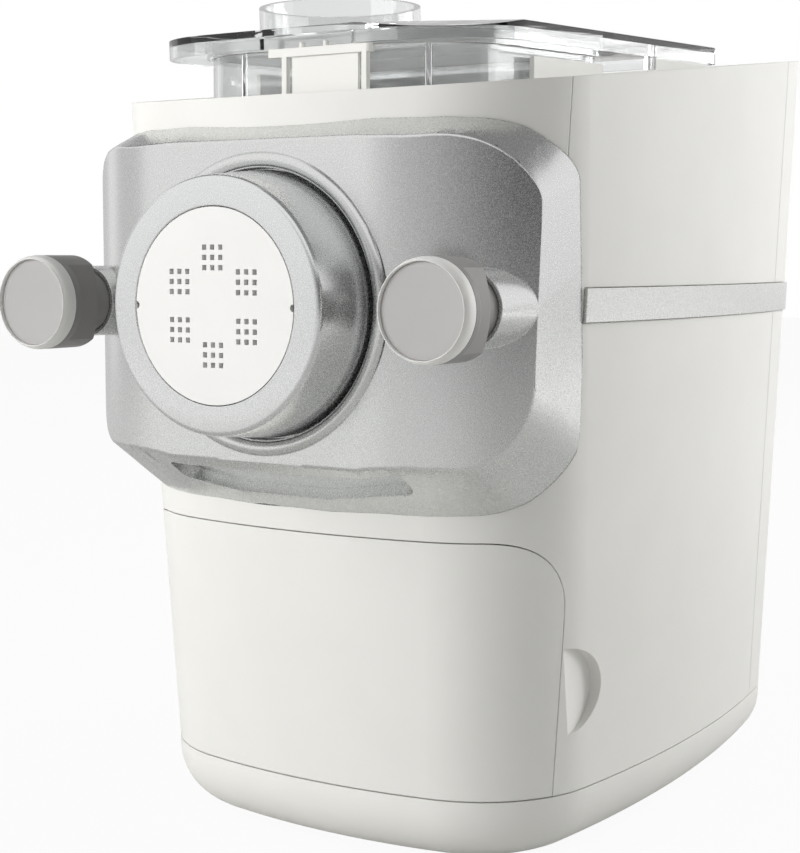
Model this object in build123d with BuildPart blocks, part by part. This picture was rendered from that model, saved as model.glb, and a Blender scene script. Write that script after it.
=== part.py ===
"""Electric pasta maker: casing, removable front with its shaping disc, mixing drive, lid and drawer.

Millimetres, +Z up, front towards -Y, origin on the table below the middle of the casing.
A setback is a distance behind the front face of the ring that holds the shaping disc.
"""
import os
from math import atan2, cos, hypot, pi, radians, sin, sqrt, tan

from build123d import *

# ------------------------------------------------------------------ driving dimensions
ring_face_y = -163.0           # front face of the disc ring
axis_z = 222.0                 # height of the mixing axis
fit = 0.3                      # clearance between pieces that are pushed together
seam_gap = 0.45                # visible gap between casing panels

# casing: one plan at the seam above the base and one at gauge height, joined by straight walls
foot_height = 1.6
seam_z = 30.0
gauge_z = 335.0
seam_half_width = 106.4
gauge_half_width = 118.5
seam_front = 59.7
gauge_front = 35.0
seam_back = 323.5
gauge_back = 327.0
seam_corner = 56.0
gauge_corner = 61.0
back_corner = 26.0
front_bow = 282.0
side_bow = 632.0
widest = 211.0
wall = 3.0
rim_start_setback = 39.3
rim_start_z = 301.0
rim_slope = 0.12
casing_top = 340.0

# panels of the casing
strip_seam = 82.0
strip_bottom = 268.0
cover_seam = 284.0
drawer_seam = 93.5
drawer_top = 132.3
drawer_corner = 28.0
mouth_half_width = 75.0
mouth_low = 152.0
mouth_high = 283.0
scoop_depth = 24.5
scoop_half_height = 17.8
scoop_z = 71.0
scoop_pocket = 10.0
band_start = 94.5
band_height = 13.0
band_proud = 1.2
band_channel = 1.0
base_round = 25.0
lip_thickness = 2.0
lip_height = 4.0

# front panel
face_setback = 28.0
face_side = 59.0
face_bend = 74.2
face_turn = 70.0
panel_front_setback = 20.0
panel_front_low = 169.1
panel_front_high = 279.3
panel_front_corners = (30.0, 40.0)
panel_rear_setback = 95.0
panel_rear_low = 102.6
panel_rear_high = 318.9
panel_rear_corners = (42.0, 75.0)
panel_inset = 15.5
panel_lean = 0.02
panel_wall = 3.0
well_clearance = 0.7
well_wall = 4.0
collar_gap = 0.4
collar_width = 5.6
collar_rise = 1.9
well_floor = 34.0
grip_left = -50.0
grip_right = 60.0
grip_depth = 5.0
grip_top = 6.0
grip_bottom = 22.5
grip_corner = 6.0

# ring, disc, tube
tube_radius = 41.0
tube_wall = 2.5
tube_flange_width = 5.0
tube_flange = 3.0
ring_clearance = 0.5
ring_face_wall = 4.5
ring_shoulder_wall = 6.0
ring_rear_wall = 9.0
ring_edge = (0.5, 0.8)
ring_shoulder = 2.0
ring_rear = 32.0
ring_lip = 4.0
disc_step = 5.0
disc_flange_step = 1.0
disc_flange = 5.0
disc_rear = 14.0
disc_hole = 1.9
disc_pitch = 3.7
disc_group_radius = 17.7
disc_groups = 6
disc_notch = 1.4

# fixing knobs
knob_inset = 14.1
knob_cap_radius = 16.7
knob_cap_setback = 0.4
knob_cap_edge = 0.3
knob_lip_width = 0.5
knob_lip_proud = 1.0
knob_radius = 18.4
knob_crown = ((0.6, 0.7), (2.4, 0.1), (4.0, 0.0))
knob_trim = 5.0
knob_grip_start = 8.0
knob_grip_end = 22.0
knob_grip_half = 14.0
knob_cheek = 39.0
neck_radius = 12.4
boss_front = 30.4
boss_wall = 1.5
boss_depth = 56.0
boss_floor = 3.0
stud_radius = 4.0
stud_front = 8.0
stud_point = 0.8
stud_socket_radius = 8.0
stud_socket_end = 98.0

# mixing chamber
tub_half_width = 65.0
tub_front = 58.0
tub_rear = 186.0
tub_wall = 2.5
tub_front_corner = 40.0
tub_back_corner = 8.0
tub_shoulder_z = 262.0
tub_collar = 8.0
tub_collar_wall = 2.7
tub_rib_radius = 1.3
tub_rib_turns = ((-1, 82.4), (1, 49.9))
tub_rib_foot = 250.0

# lid
lid_front = 48.5
lid_length = 227.8
lid_front_z = 319.4
lid_slope = 0.046
lid_front_overhang = 15.5
lid_rear_overhang = 19.0
lid_front_bow = 4.0
lid_front_corner = 40.0
lid_rear_corner = 8.0
lid_height = 7.4
lid_wall = 2.5
funnel_radius = 32.0
funnel_wall = 2.5
funnel_centre = 35.1
funnel_height = 10.25
notch_left = -14.0
notch_right = 28.0
peg_setback = 200.0
peg_length = 5.5

# latch in front of the chamber
latch_x = 14.6
latch_setback = 50.0
latch_thickness = 2.4
latch_bar_left = 6.3
latch_bar_right = 1.4
latch_bar_round = 2.0
latch_bar_height = 3.3
latch_bar_z = 316.0
latch_panel_width = 34.3
latch_panel_gap = 2.0
latch_panel_recess = 0.9
latch_leg = 2.3
latch_pivot_z = 292.0
latch_pin_radius = 2.0
latch_lean_room = 4.0
latch_ear = 3.0
latch_post_height = 1.9
latch_post_places = (-10.6, 0.4)

# drive
shaft_radius = 6.0
drive_teeth = 60
idler_teeth = 30
pinion_teeth = 15
tooth_module = 1.5
tooth_backlash = 0.35
pressure_angle = radians(20)
flank_steps = 4
gear_width = 10.0
gear_gap = 3.5
idler_direction = -70.0
pinion_direction = -150.0
pin_radius = 3.0
gearbox_front = 190.0
gearbox_wall = 2.5
motor_radius = 34.0
motor_length = 70.0
screw_gap = 2.5
paddle_gap = 6.5

# inner frame
bulkhead = 214.0
bulkhead_thickness = 3.0
bulkhead_gap = 8.4
drawer_half_width = 82.0
drawer_floor_z = 36.0
drawer_height = 82.0
drawer_wall = 2.5
frame_wall = 3.0
runner_clearance = 1.0
shelf_clearance = 4.0
shelf_start = 100.0
foot_x = 56.0
foot_y = (-58.0, 118.0)
foot_radius = 9.0

# deck and controls
deck_drop = 4.0
deck_thickness = 2.5
upstand_start = 118.0
upstand_wall = 2.0
fascia_start = 287.0
fascia_end = 315.0
fascia_half_width = 72.0
button_travel = 1.2

# sizes that follow from those above
close_fit = 0.1
contact_gap = 0.05
panel_half_width = gauge_half_width - panel_inset
face_flat = panel_half_width - face_side
knob_x = panel_half_width - knob_inset
ring_bore = tube_radius + ring_clearance
ring_radius = ring_bore + ring_face_wall
ring_rear_radius = ring_bore + ring_rear_wall
well_radius = ring_rear_radius + well_clearance
tube_flange_radius = tube_radius + tube_flange_width
disc_radius = tube_radius - disc_step
disc_flange_radius = tube_radius - disc_flange_step
ring_mouth = disc_radius + fit
screw_radius = tube_radius - tube_wall - screw_gap
paddle_reach = tub_half_width - tub_wall - paddle_gap
lid_front_half_width = tub_half_width + lid_front_overhang
lid_rear_half_width = tub_half_width + lid_rear_overhang
bulkhead_half_width = seam_half_width - bulkhead_gap
os.makedirs("parts", exist_ok=True)


# ------------------------------------------------------------------ helpers
def behind(setback):
    """Y of a plane that lies the given setback behind the ring's front face."""
    return ring_face_y + setback


def upright(setback):
    """Vertical plane at a setback, with X to the right, Z up and its normal to the front."""
    return Plane.XZ.offset(-behind(setback))


def keep(name, builder):
    """Label a finished piece and write it as its own file."""
    builder.part.label = name
    export_step(builder.part, f"parts/{name}.step")


def meeting_point(centre_a, radius_a, centre_b, radius_b):
    """The lower of the two points where two circles meet."""
    span = hypot(centre_b[0] - centre_a[0], centre_b[1] - centre_a[1])
    along = (radius_a**2 - radius_b**2 + span**2) / (2 * span)
    away = sqrt(radius_a**2 - along**2)
    unit = ((centre_b[0] - centre_a[0]) / span, (centre_b[1] - centre_a[1]) / span)
    foot = (centre_a[0] + along * unit[0], centre_a[1] + along * unit[1])
    points = [(foot[0] - side * away * unit[1], foot[1] + side * away * unit[0]) for side in (-1, 1)]
    return min(points, key=lambda point: point[1])


def casing_outline(z, inset=0.0):
    """The casing's plan at height z, drawn in by inset: bowed front and sides, straight back."""
    rise = (z - seam_z) / (gauge_z - seam_z)
    half_width = seam_half_width + (gauge_half_width - seam_half_width) * rise - inset
    front = behind(seam_front + (gauge_front - seam_front) * rise) + inset
    back = behind(seam_back + (gauge_back - seam_back) * rise) - inset
    corner = seam_corner + (gauge_corner - seam_corner) * rise - inset
    bow = front_bow - inset
    side = side_bow - inset
    side_centre = (half_width - side, behind(widest))
    front_point = meeting_point((0, front + bow), bow, side_centre, side)
    rear_point = (side_centre[0] + sqrt(side**2 - (back - side_centre[1]) ** 2), back)
    with BuildSketch() as outline:
        with BuildLine():
            TangentArc((0, front), front_point, tangent=(1, 0))
            ThreePointArc(front_point, (half_width, behind(widest)), rear_point)
            Line(rear_point, (0, back))
            mirror(about=Plane.YZ)
        make_face()
        sharp = outline.vertices().filter_by(lambda vertex: abs(vertex.X) > wall)
        fillet(sharp.group_by(Axis.Y)[0], corner)
        sharp = outline.vertices().filter_by(lambda vertex: abs(vertex.X) > wall)
        fillet(sharp.group_by(Axis.Y)[-1], back_corner - inset)
    return outline.sketch


def casing_body(inset=0.0, low=seam_z, high=casing_top):
    """Solid inside the casing's faces drawn in by inset, between two heights."""
    with BuildPart() as body:
        for z in (low, high):
            with BuildSketch(Plane.XY.offset(z)):
                add(casing_outline(z, inset))
        loft(ruled=True)
    return body.part


rim_plane = Plane(
    origin=(0, behind(rim_start_setback), rim_start_z), x_dir=(1, 0, 0), z_dir=(0, -rim_slope, 1)
)
side_reach = 2 * gauge_half_width


def casing_wall(inset=0.0, thickness=wall):
    """The casing's wall, open below at the seam and cut above by the sloping rim."""
    with BuildPart() as shell:
        add(casing_body(inset))
        add(casing_body(inset + thickness), mode=Mode.SUBTRACT)
        split(bisect_by=rim_plane, keep=Keep.BOTTOM)
    return shell.part


def side_region(points, corner=0.0, corner_at=None):
    """Prism right across the casing over a side-view outline of (setback, height) points."""
    with BuildPart() as region:
        with BuildSketch(Plane.YZ):
            with BuildLine():
                Polyline(*[(behind(setback), z) for setback, z in points], close=True)
            make_face()
            if corner:
                chosen = vertices().sort_by_distance((behind(corner_at[0]), corner_at[1], 0))[0]
                fillet(chosen, corner)
        extrude(amount=side_reach / 2, both=True)
    return region.part


def drawer_region(grow=0.0):
    """Side-view region of the drawer front, grown by a gap."""
    seam = drawer_seam + grow
    top = drawer_top + grow
    points = [(0, 0), (seam, 0), (seam, top), (0, top)]
    return side_region(points, drawer_corner + grow, (seam, top))


def strip_region(grow=0.0):
    """Side-view region of the strip above the front panel, grown by a gap."""
    seam = strip_seam + grow
    low = strip_bottom - grow
    return side_region([(0, low), (seam, low), (seam, 2 * axis_z), (0, 2 * axis_z)])


def band_body(inner, outer, margin=0.0):
    """Belt round the casing between two insets, from behind the front panel to the back."""
    low = axis_z - band_height / 2 - margin
    high = axis_z + band_height / 2 + margin
    with BuildPart() as belt:
        add(casing_body(outer, low, high))
        add(casing_body(inner, low, high), mode=Mode.SUBTRACT)
        start = band_start - margin
        back = gauge_back + side_bow
        region = [(start, low), (back, low), (back, high), (start, high)]
        add(side_region(region), mode=Mode.INTERSECT)
    return belt.part


def turned(profile, x=0.0):
    """Round body about the axis at the given X, from (setback, radius) points."""
    with BuildPart() as body:
        with BuildSketch(Plane.YZ.offset(x)):
            with BuildLine():
                Polyline(*[(behind(setback), axis_z + radius) for setback, radius in profile], close=True)
            make_face()
        revolve(axis=Axis((x, 0, axis_z), (0, 1, 0)))
    return body.part


def rod(x, z, radius, start, end):
    """Cylinder along Y between two setbacks."""
    with BuildPart() as body:
        with BuildSketch(upright(end)):
            with Locations((x, z)):
                Circle(radius)
        extrude(amount=end - start)
    return body.part


def block(x_range, setback_range, z_range):
    """Box between limits in X, setback and Z."""
    with BuildPart() as body:
        with BuildSketch(Plane.XY.offset(z_range[0])):
            middle = (sum(x_range) / 2, behind(sum(setback_range) / 2))
            with Locations(middle):
                Rectangle(x_range[1] - x_range[0], setback_range[1] - setback_range[0])
        extrude(amount=z_range[1] - z_range[0])
    return body.part


def both_sides(shape, mode=Mode.ADD):
    """Add a shape and its mirror image across the middle plane to the part in progress."""
    add(shape, mode=mode)
    add(mirror(shape, about=Plane.YZ, mode=Mode.PRIVATE), mode=mode)


# ------------------------------------------------------------------ casing
stud_socket = rod(knob_x, axis_z, stud_socket_radius, face_setback, stud_socket_end)
stud_hole = rod(knob_x, axis_z, stud_radius, 0, stud_socket_end - wall)
scoop_front = drawer_seam + seam_gap


def scoop(grow):
    """Half-round finger pocket in the right-hand side wall, just behind the drawer front."""
    with BuildPart() as pocket:
        with BuildSketch(Plane.YZ.offset(seam_half_width + 2 * wall)):
            with Locations((behind(scoop_front), scoop_z)):
                Ellipse(scoop_depth + grow, scoop_half_height + grow)
            with Locations((behind(scoop_front) - scoop_depth, scoop_z)):
                Rectangle(2 * scoop_depth, 4 * scoop_half_height, mode=Mode.SUBTRACT)
        extrude(amount=-(scoop_pocket + 2 * wall + grow))
    return pocket.part


with BuildPart() as housing_shell:
    add(casing_wall())
    rear = cover_seam - seam_gap / 2
    region = [(0, 0), (rear, 0), (rear, 2 * axis_z), (0, 2 * axis_z)]
    add(side_region(region), mode=Mode.INTERSECT)
    with BuildPart(mode=Mode.PRIVATE) as lining:
        both_sides(scoop(wall))
        both_sides(stud_socket)
        add(casing_body(wall / 2, seam_z), mode=Mode.INTERSECT)
    add(lining.part)
    add(drawer_region(seam_gap), mode=Mode.SUBTRACT)
    add(strip_region(seam_gap), mode=Mode.SUBTRACT)
    both_sides(scoop(0.0), mode=Mode.SUBTRACT)
    both_sides(stud_hole, mode=Mode.SUBTRACT)
    mouth = block((-mouth_half_width, mouth_half_width), (0, tub_rear), (mouth_low, mouth_high))
    add(mouth, mode=Mode.SUBTRACT)
    add(band_body(band_channel + fit / 2, -wall, fit), mode=Mode.SUBTRACT)
keep("housing_shell", housing_shell)

with BuildPart() as front_strip:
    add(casing_wall())
    add(strip_region(), mode=Mode.INTERSECT)
    add(mouth, mode=Mode.SUBTRACT)
keep("front_strip", front_strip)

# the rear cover carries the air slots and the socket for the mains lead
inlet_x = -30.0
inlet_z = 60.0
inlet_body = (27.0, 20.0)
inlet_flange = (40.0, 28.0)
inlet_flange_thickness = 2.0
inlet_depth = 22.0
inlet_recess = (22.5, 15.5)
inlet_recess_depth = 16.0
inlet_pins = ((-6.0, -1.5), (0.0, 2.5), (6.0, -1.5))
inlet_pin_size = (1.6, 4.0)
inlet_pin_sink = 3.0
slot_length = 44.0
slot_height = 3.0
slot_pitch = 8.0
slot_count = 7
slot_x = 38.0
slot_z = 96.0
post_x = 68.0
post_z = (62.0, 284.0)
post_radius = 6.0
screw_radius_small = 1.8
screw_head_radius = 3.4
screw_head_height = 1.4
screw_sink = 1.5


def back_at(z):
    """Setback of the casing's back at height z."""
    return seam_back + (gauge_back - seam_back) * (z - seam_z) / (gauge_z - seam_z)


with BuildPart() as rear_cover:
    add(casing_wall())
    front = cover_seam + seam_gap / 2
    region = [(front, 0), (2 * widest, 0), (2 * widest, 2 * axis_z), (front, 2 * axis_z)]
    add(side_region(region), mode=Mode.INTERSECT)
    add(band_body(band_channel + fit / 2, -wall, fit), mode=Mode.SUBTRACT)
    with BuildSketch(upright(gauge_back + wall)):
        with Locations((slot_x, slot_z)):
            with GridLocations(0, slot_pitch, 1, slot_count):
                SlotOverall(slot_length, slot_height)
        with Locations((inlet_x, inlet_z)):
            Rectangle(inlet_body[0] + fit, inlet_body[1] + fit)
        for z in post_z:
            with Locations((-post_x, z), (post_x, z)):
                Circle(screw_radius_small + fit)
    extrude(amount=3 * wall + gauge_back - seam_back, mode=Mode.SUBTRACT)
    for z in post_z:
        seat = rod(post_x, z, screw_head_radius + fit, back_at(z) - screw_sink, 2 * widest)
        both_sides(seat, mode=Mode.SUBTRACT)
keep("rear_cover", rear_cover)

with BuildPart() as side_band:
    add(band_body(band_channel, -band_proud))
keep("side_band", side_band)


# ------------------------------------------------------------------ base
def base_body(inset, low, radius):
    """Round-bottomed body below the seam."""
    with BuildPart() as body:
        with BuildSketch(Plane.XY.offset(seam_z)):
            add(casing_outline(seam_z, inset))
        extrude(amount=-(seam_z - low))
        fillet(body.faces().sort_by(Axis.Z)[0].edges(), radius)
    return body.part


lip_inset = wall + fit
floor_z = foot_height + wall
frame_screws = [(-70.0, -12.0), (70.0, -12.0), (-70.0, 36.0), (70.0, 36.0)]

with BuildPart() as base_tray:
    add(base_body(0.0, foot_height, base_round))
    add(base_body(wall, floor_z, base_round - wall), mode=Mode.SUBTRACT)
    with BuildSketch(Plane.XY.offset(seam_z - lip_height)):
        add(casing_outline(seam_z, wall - fit))
        add(casing_outline(seam_z, lip_inset + lip_thickness), mode=Mode.SUBTRACT)
    extrude(amount=lip_height)
    with BuildSketch(Plane.XY.offset(seam_z)):
        add(casing_outline(seam_z, lip_inset))
        add(casing_outline(seam_z, lip_inset + lip_thickness), mode=Mode.SUBTRACT)
    extrude(amount=lip_height)
    with BuildSketch(Plane.XY.offset(seam_z)):
        add(casing_outline(seam_z))
        add(casing_outline(seam_z, lip_inset), mode=Mode.SUBTRACT)
    extrude(amount=-seam_gap, mode=Mode.SUBTRACT)
    with BuildSketch(Plane.XY):
        for y in foot_y:
            with Locations((-foot_x, y), (foot_x, y)):
                Circle(pin_radius)
        with Locations(*frame_screws):
            Circle(screw_radius_small + fit)
    extrude(amount=floor_z + fit, mode=Mode.SUBTRACT)
keep("base_tray", base_tray)

with BuildPart() as rubber_feet:
    for y in foot_y:
        for x in (-foot_x, foot_x):
            with BuildSketch(Plane.XY):
                with Locations((x, y)):
                    Circle(foot_radius)
            extrude(amount=foot_height)
            with BuildSketch(Plane.XY.offset(foot_height)):
                with Locations((x, y)):
                    Circle(pin_radius - fit / 3)
            extrude(amount=wall)
            with BuildSketch(Plane.XY.offset(floor_z)):
                with Locations((x, y)):
                    Circle(2 * pin_radius)
            extrude(amount=wall / 2)
keep("rubber_feet", rubber_feet)


def screw_at(plane, length):
    """Pan-head screw on a plane, its head against the plane and its shank going into it."""
    with BuildPart() as screw:
        with BuildSketch(plane):
            Circle(screw_head_radius)
        extrude(amount=screw_head_height)
        with BuildSketch(plane):
            Circle(screw_radius_small)
        extrude(amount=-length)
        with BuildSketch(plane.offset(screw_head_height)):
            Rectangle(screw_head_radius, screw_head_height / 4)
            Rectangle(screw_head_height / 4, screw_head_radius)
        extrude(amount=-screw_head_height / 2, mode=Mode.SUBTRACT)
    return screw.part


# ------------------------------------------------------------------ inner frame
shelf_z = drawer_floor_z + drawer_height + shelf_clearance
frame_inner = drawer_half_width + runner_clearance
frame_outer = frame_inner + frame_wall
bulkhead_rear = bulkhead + bulkhead_thickness
deck_top = rim_plane.offset(-deck_drop)
deck_bottom = deck_top.offset(-deck_thickness)
drive_pitch_radius = drive_teeth * tooth_module / 2
idler_pitch_radius = idler_teeth * tooth_module / 2
pinion_pitch_radius = pinion_teeth * tooth_module / 2
idler_reach = drive_pitch_radius + idler_pitch_radius
pinion_reach = idler_pitch_radius + pinion_pitch_radius
idler_centre = (
    idler_reach * cos(radians(idler_direction)),
    axis_z + idler_reach * sin(radians(idler_direction)),
)
pinion_centre = (
    idler_centre[0] + pinion_reach * cos(radians(pinion_direction)),
    idler_centre[1] + pinion_reach * sin(radians(pinion_direction)),
)
saddle_setbacks = (108.0, 166.0)
saddle_thickness = 5.0
saddle_top = 192.0
saddle_inset = 7.0
saddle_half_width = tub_half_width - saddle_inset
post_end = seam_back - wall - fit
rail_width = 9.0
leg_half = (6.0, 3.0)
leg_bore_depth = 12.0

# upright wall between the mixing side and the motor side, with the posts that carry the rear cover
with BuildPart() as inner_frame:
    across = (-bulkhead_half_width, bulkhead_half_width)
    add(block(across, (bulkhead, bulkhead_rear), (seam_z + lip_height + fit, 2 * axis_z)))
    add(block((-foot_x, foot_x), (bulkhead, bulkhead_rear), (floor_z, seam_z + 2 * lip_height)))
    for z in post_z:
        both_sides(rod(post_x, z, post_radius, bulkhead, post_end))
        both_sides(rod(post_x, z, screw_radius_small, bulkhead_rear + wall, post_end), mode=Mode.SUBTRACT)
    add(rod(0, axis_z, shaft_radius + fit, 0, post_end), mode=Mode.SUBTRACT)
    add(rod(*pinion_centre, pin_radius + 2 * fit, 0, post_end), mode=Mode.SUBTRACT)
    split(bisect_by=deck_bottom.offset(-fit), keep=Keep.BOTTOM)
keep("inner_frame", inner_frame)

# tunnel over the drawer with its runners, screwed to the base tray
with BuildPart() as drawer_tunnel:
    along = (shelf_start, bulkhead - contact_gap)
    both_sides(block((frame_inner, frame_outer), along, (seam_z, shelf_z)))
    add(block((-frame_outer, frame_outer), along, (shelf_z, shelf_z + frame_wall)))
    rail_z = (drawer_floor_z - fit - frame_wall, drawer_floor_z - fit)
    both_sides(block((frame_inner - rail_width, frame_inner), along, rail_z))
    for x, y in frame_screws:
        leg_x = (x - leg_half[0], x + leg_half[0])
        leg_start = y - ring_face_y - leg_half[1]
        add(block(leg_x, (leg_start, leg_start + 2 * leg_half[1]), (floor_z, rail_z[1])))
    with BuildSketch(Plane.XY):
        with Locations(*frame_screws):
            Circle(screw_radius_small)
    extrude(amount=floor_z + leg_bore_depth, mode=Mode.SUBTRACT)
keep("drawer_tunnel", drawer_tunnel)

# two saddles on the tunnel carry the mixing chamber
with BuildPart() as chamber_saddles:
    for setback in saddle_setbacks:
        span = (setback, setback + saddle_thickness)
        low = shelf_z + frame_wall + contact_gap
        add(block((-saddle_half_width, saddle_half_width), span, (low, saddle_top)))
    add(rod(0, axis_z, tub_half_width + fit, 0, tub_rear), mode=Mode.SUBTRACT)
keep("chamber_saddles", chamber_saddles)

with BuildPart() as base_screws:
    for x, y in frame_screws:
        under = Plane(origin=(x, y, foot_height), x_dir=(1, 0, 0), z_dir=(0, 0, -1))
        with BuildSketch(under.offset(-wall / 2)):
            Circle(screw_radius_small)
        extrude(amount=-3 * wall)
keep("base_screws", base_screws)

with BuildPart() as cover_screws:
    for z in post_z:
        for x in (-post_x, post_x):
            outside = Plane(origin=(x, behind(back_at(z) - screw_sink), z), x_dir=(-1, 0, 0), z_dir=(0, 1, 0))
            add(screw_at(outside, 5 * wall))
keep("cover_screws", cover_screws)

# ------------------------------------------------------------------ top deck and controls
def tub_outline(inset=0.0):
    """Plan of the mixing chamber, drawn in by inset."""
    half_width = tub_half_width - inset
    front = behind(tub_front) + inset
    rear = behind(tub_rear) - inset
    with BuildSketch() as outline:
        with BuildLine():
            corners = [(-half_width, front), (half_width, front), (half_width, rear), (-half_width, rear)]
            Polyline(*corners, close=True)
        make_face()
        fillet(outline.vertices().group_by(Axis.Y)[0], tub_front_corner - inset)
        fillet(outline.vertices().group_by(Axis.Y)[-1], tub_back_corner - inset)
    return outline.sketch


lid_plane = Plane(origin=(0, behind(lid_front), lid_front_z), x_dir=(1, 0, 0), z_dir=(0, -lid_slope, 1))
lid_rest = lid_plane.offset(-fit)
latch_rear = latch_setback + latch_thickness
latch_middle = latch_setback + latch_thickness / 2
latch_span = latch_panel_width / 2 + latch_leg
latch_slot_front = latch_setback - latch_lean_room
well_gap = 1.5
rest_offset = 11.5
rest_x = tub_half_width + rest_offset
rest_thickness = 2.5
rest_start = 208.0
rest_end = 272.0
upstand_drop = 3.5
fascia_middle = (fascia_start + fascia_end) / 2
fascia_along = (fascia_middle - rim_start_setback) * hypot(1, rim_slope)
fascia_plane = Plane(
    origin=deck_top.from_local_coords(Vector(0, fascia_along, 0)), x_dir=(1, 0, 0), z_dir=deck_top.z_dir
)
fascia_length = fascia_end - fascia_start
fascia_thickness = 2.0
button_x = (12.0, 28.0, 43.0, 59.0)
button_names = ("power_button", "program_button", "portion_button", "start_button")
button_radius = (6.0, 5.0, 5.0, 6.0)
button_height = 1.8
button_flange = 1.2
button_clearance = 0.25
display_half = (22.0, 8.0)
display_x = -28.0
board_drop = 9.0

with BuildPart() as top_deck:
    add(casing_body(wall + fit, mouth_high))
    split(bisect_by=deck_top, keep=Keep.BOTTOM)
    split(bisect_by=deck_bottom, keep=Keep.TOP)
    with BuildPart(mode=Mode.PRIVATE) as upstands:
        with BuildSketch(Plane.XY.offset(mouth_high)):
            add(tub_outline(-well_gap - upstand_wall))
        extrude(amount=axis_z)
        add(block((-side_reach, side_reach), (0, upstand_start), (0, 3 * axis_z)), mode=Mode.SUBTRACT)
        split(bisect_by=lid_plane.offset(-upstand_drop), keep=Keep.BOTTOM)
        split(bisect_by=deck_bottom, keep=Keep.TOP)
    add(upstands.part)
    with BuildPart(mode=Mode.PRIVATE) as rests:
        both_sides(block((rest_x, rest_x + rest_thickness), (rest_start, rest_end), (mouth_high, 2 * axis_z)))
        split(bisect_by=lid_rest, keep=Keep.BOTTOM)
        split(bisect_by=deck_bottom, keep=Keep.TOP)
    add(rests.part)
    with BuildSketch(Plane.XY.offset(mouth_high)):
        add(tub_outline(-well_gap))
    extrude(amount=axis_z, mode=Mode.SUBTRACT)
    with BuildSketch(fascia_plane):
        Rectangle(2 * (fascia_half_width + fit), fascia_length + 2 * fit)
    extrude(amount=deck_thickness, both=True, mode=Mode.SUBTRACT)
    with BuildSketch(fascia_plane.offset(-deck_thickness)):
        Rectangle(2 * (fascia_half_width + wall), fascia_length + 2 * wall)
        Rectangle(2 * (fascia_half_width - wall), fascia_length - 2 * wall, mode=Mode.SUBTRACT)
    extrude(amount=-deck_thickness)
    peg_box = (tub_half_width + upstand_wall + 3 * wall, tub_half_width + upstand_wall + 6 * wall)
    hole = block(peg_box, (peg_setback - wall, peg_setback + 3 * wall), (mouth_high, 2 * axis_z))
    both_sides(hole, mode=Mode.SUBTRACT)
    slot = (latch_x - latch_span - fit, latch_x + latch_span + fit)
    add(block(slot, (latch_slot_front, tub_front), (mouth_high, 2 * axis_z)), mode=Mode.SUBTRACT)
    with BuildPart(mode=Mode.PRIVATE) as ears:
        ear_setbacks = (latch_middle - 2 * latch_pin_radius, latch_middle + 2 * latch_pin_radius)
        for start in (slot[0] - latch_ear, slot[1]):
            ear_z = (latch_pivot_z - 2 * latch_pin_radius, latch_pivot_z + 6 * latch_pin_radius)
            add(block((start, start + latch_ear), ear_setbacks, ear_z))
        split(bisect_by=deck_top, keep=Keep.BOTTOM)
        with BuildSketch(Plane.YZ.offset(slot[0] - latch_ear)):
            with Locations((behind(latch_middle), latch_pivot_z)):
                Circle(latch_pin_radius + contact_gap)
        extrude(amount=side_reach, mode=Mode.SUBTRACT)
    add(ears.part)
keep("top_deck", top_deck)

with BuildPart() as control_fascia:
    with BuildSketch(fascia_plane):
        Rectangle(2 * fascia_half_width, fascia_length)
    extrude(amount=-deck_thickness + fit / 3)
    with BuildSketch(fascia_plane):
        with Locations((display_x, 0)):
            Rectangle(2 * (display_half[0] + fit), 2 * (display_half[1] + fit))
        for x, radius in zip(button_x, button_radius):
            with Locations((x, 0)):
                Circle(radius + button_clearance)
    extrude(amount=-deck_thickness, mode=Mode.SUBTRACT)
keep("control_fascia", control_fascia)

with BuildPart() as display_window:
    with BuildSketch(fascia_plane.offset(fit / 3)):
        with Locations((display_x, 0)):
            Rectangle(2 * display_half[0], 2 * display_half[1])
    extrude(amount=-fascia_thickness)
keep("display_window", display_window)

for name, x, radius in zip(button_names, button_x, button_radius):
    with BuildPart() as button:
        with BuildSketch(fascia_plane.offset(button_height)):
            with Locations((x, 0)):
                Circle(radius)
        extrude(amount=-(button_height + deck_thickness + fit))
        with BuildSketch(fascia_plane.offset(-deck_thickness - fit)):
            with Locations((x, 0)):
                Circle(radius + button_flange)
        extrude(amount=-button_flange)
    keep(name, button)

board_plane = fascia_plane.offset(-board_drop)
board_thickness = 1.6
with BuildPart() as control_board:
    with BuildSketch(board_plane):
        Rectangle(2 * (fascia_half_width - 2 * wall), fascia_length - 2 * wall)
    extrude(amount=-board_thickness)
    with BuildSketch(board_plane):
        for x, radius in zip(button_x, button_radius):
            with Locations((x, 0)):
                Circle(radius / 2)
    switch_height = board_drop - deck_thickness - fit - button_flange - button_travel - fit
    extrude(amount=switch_height)
    with BuildSketch(board_plane):
        with Locations((display_x, 0)):
            Rectangle(2 * display_half[0] - wall, 2 * display_half[1] - wall)
    extrude(amount=board_drop - fascia_thickness - fit)
    with BuildSketch(board_plane):
        ends = fascia_half_width - 3 * wall
        with Locations((-ends, fascia_length / 2 - 3 * wall), (-ends, 3 * wall - fascia_length / 2)):
            Circle(wall / 2)
        with Locations((0, fascia_length / 2 - 3 * wall), (0, 3 * wall - fascia_length / 2)):
            Circle(wall / 2)
    extrude(amount=board_drop - deck_thickness)
keep("control_board", control_board)


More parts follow.
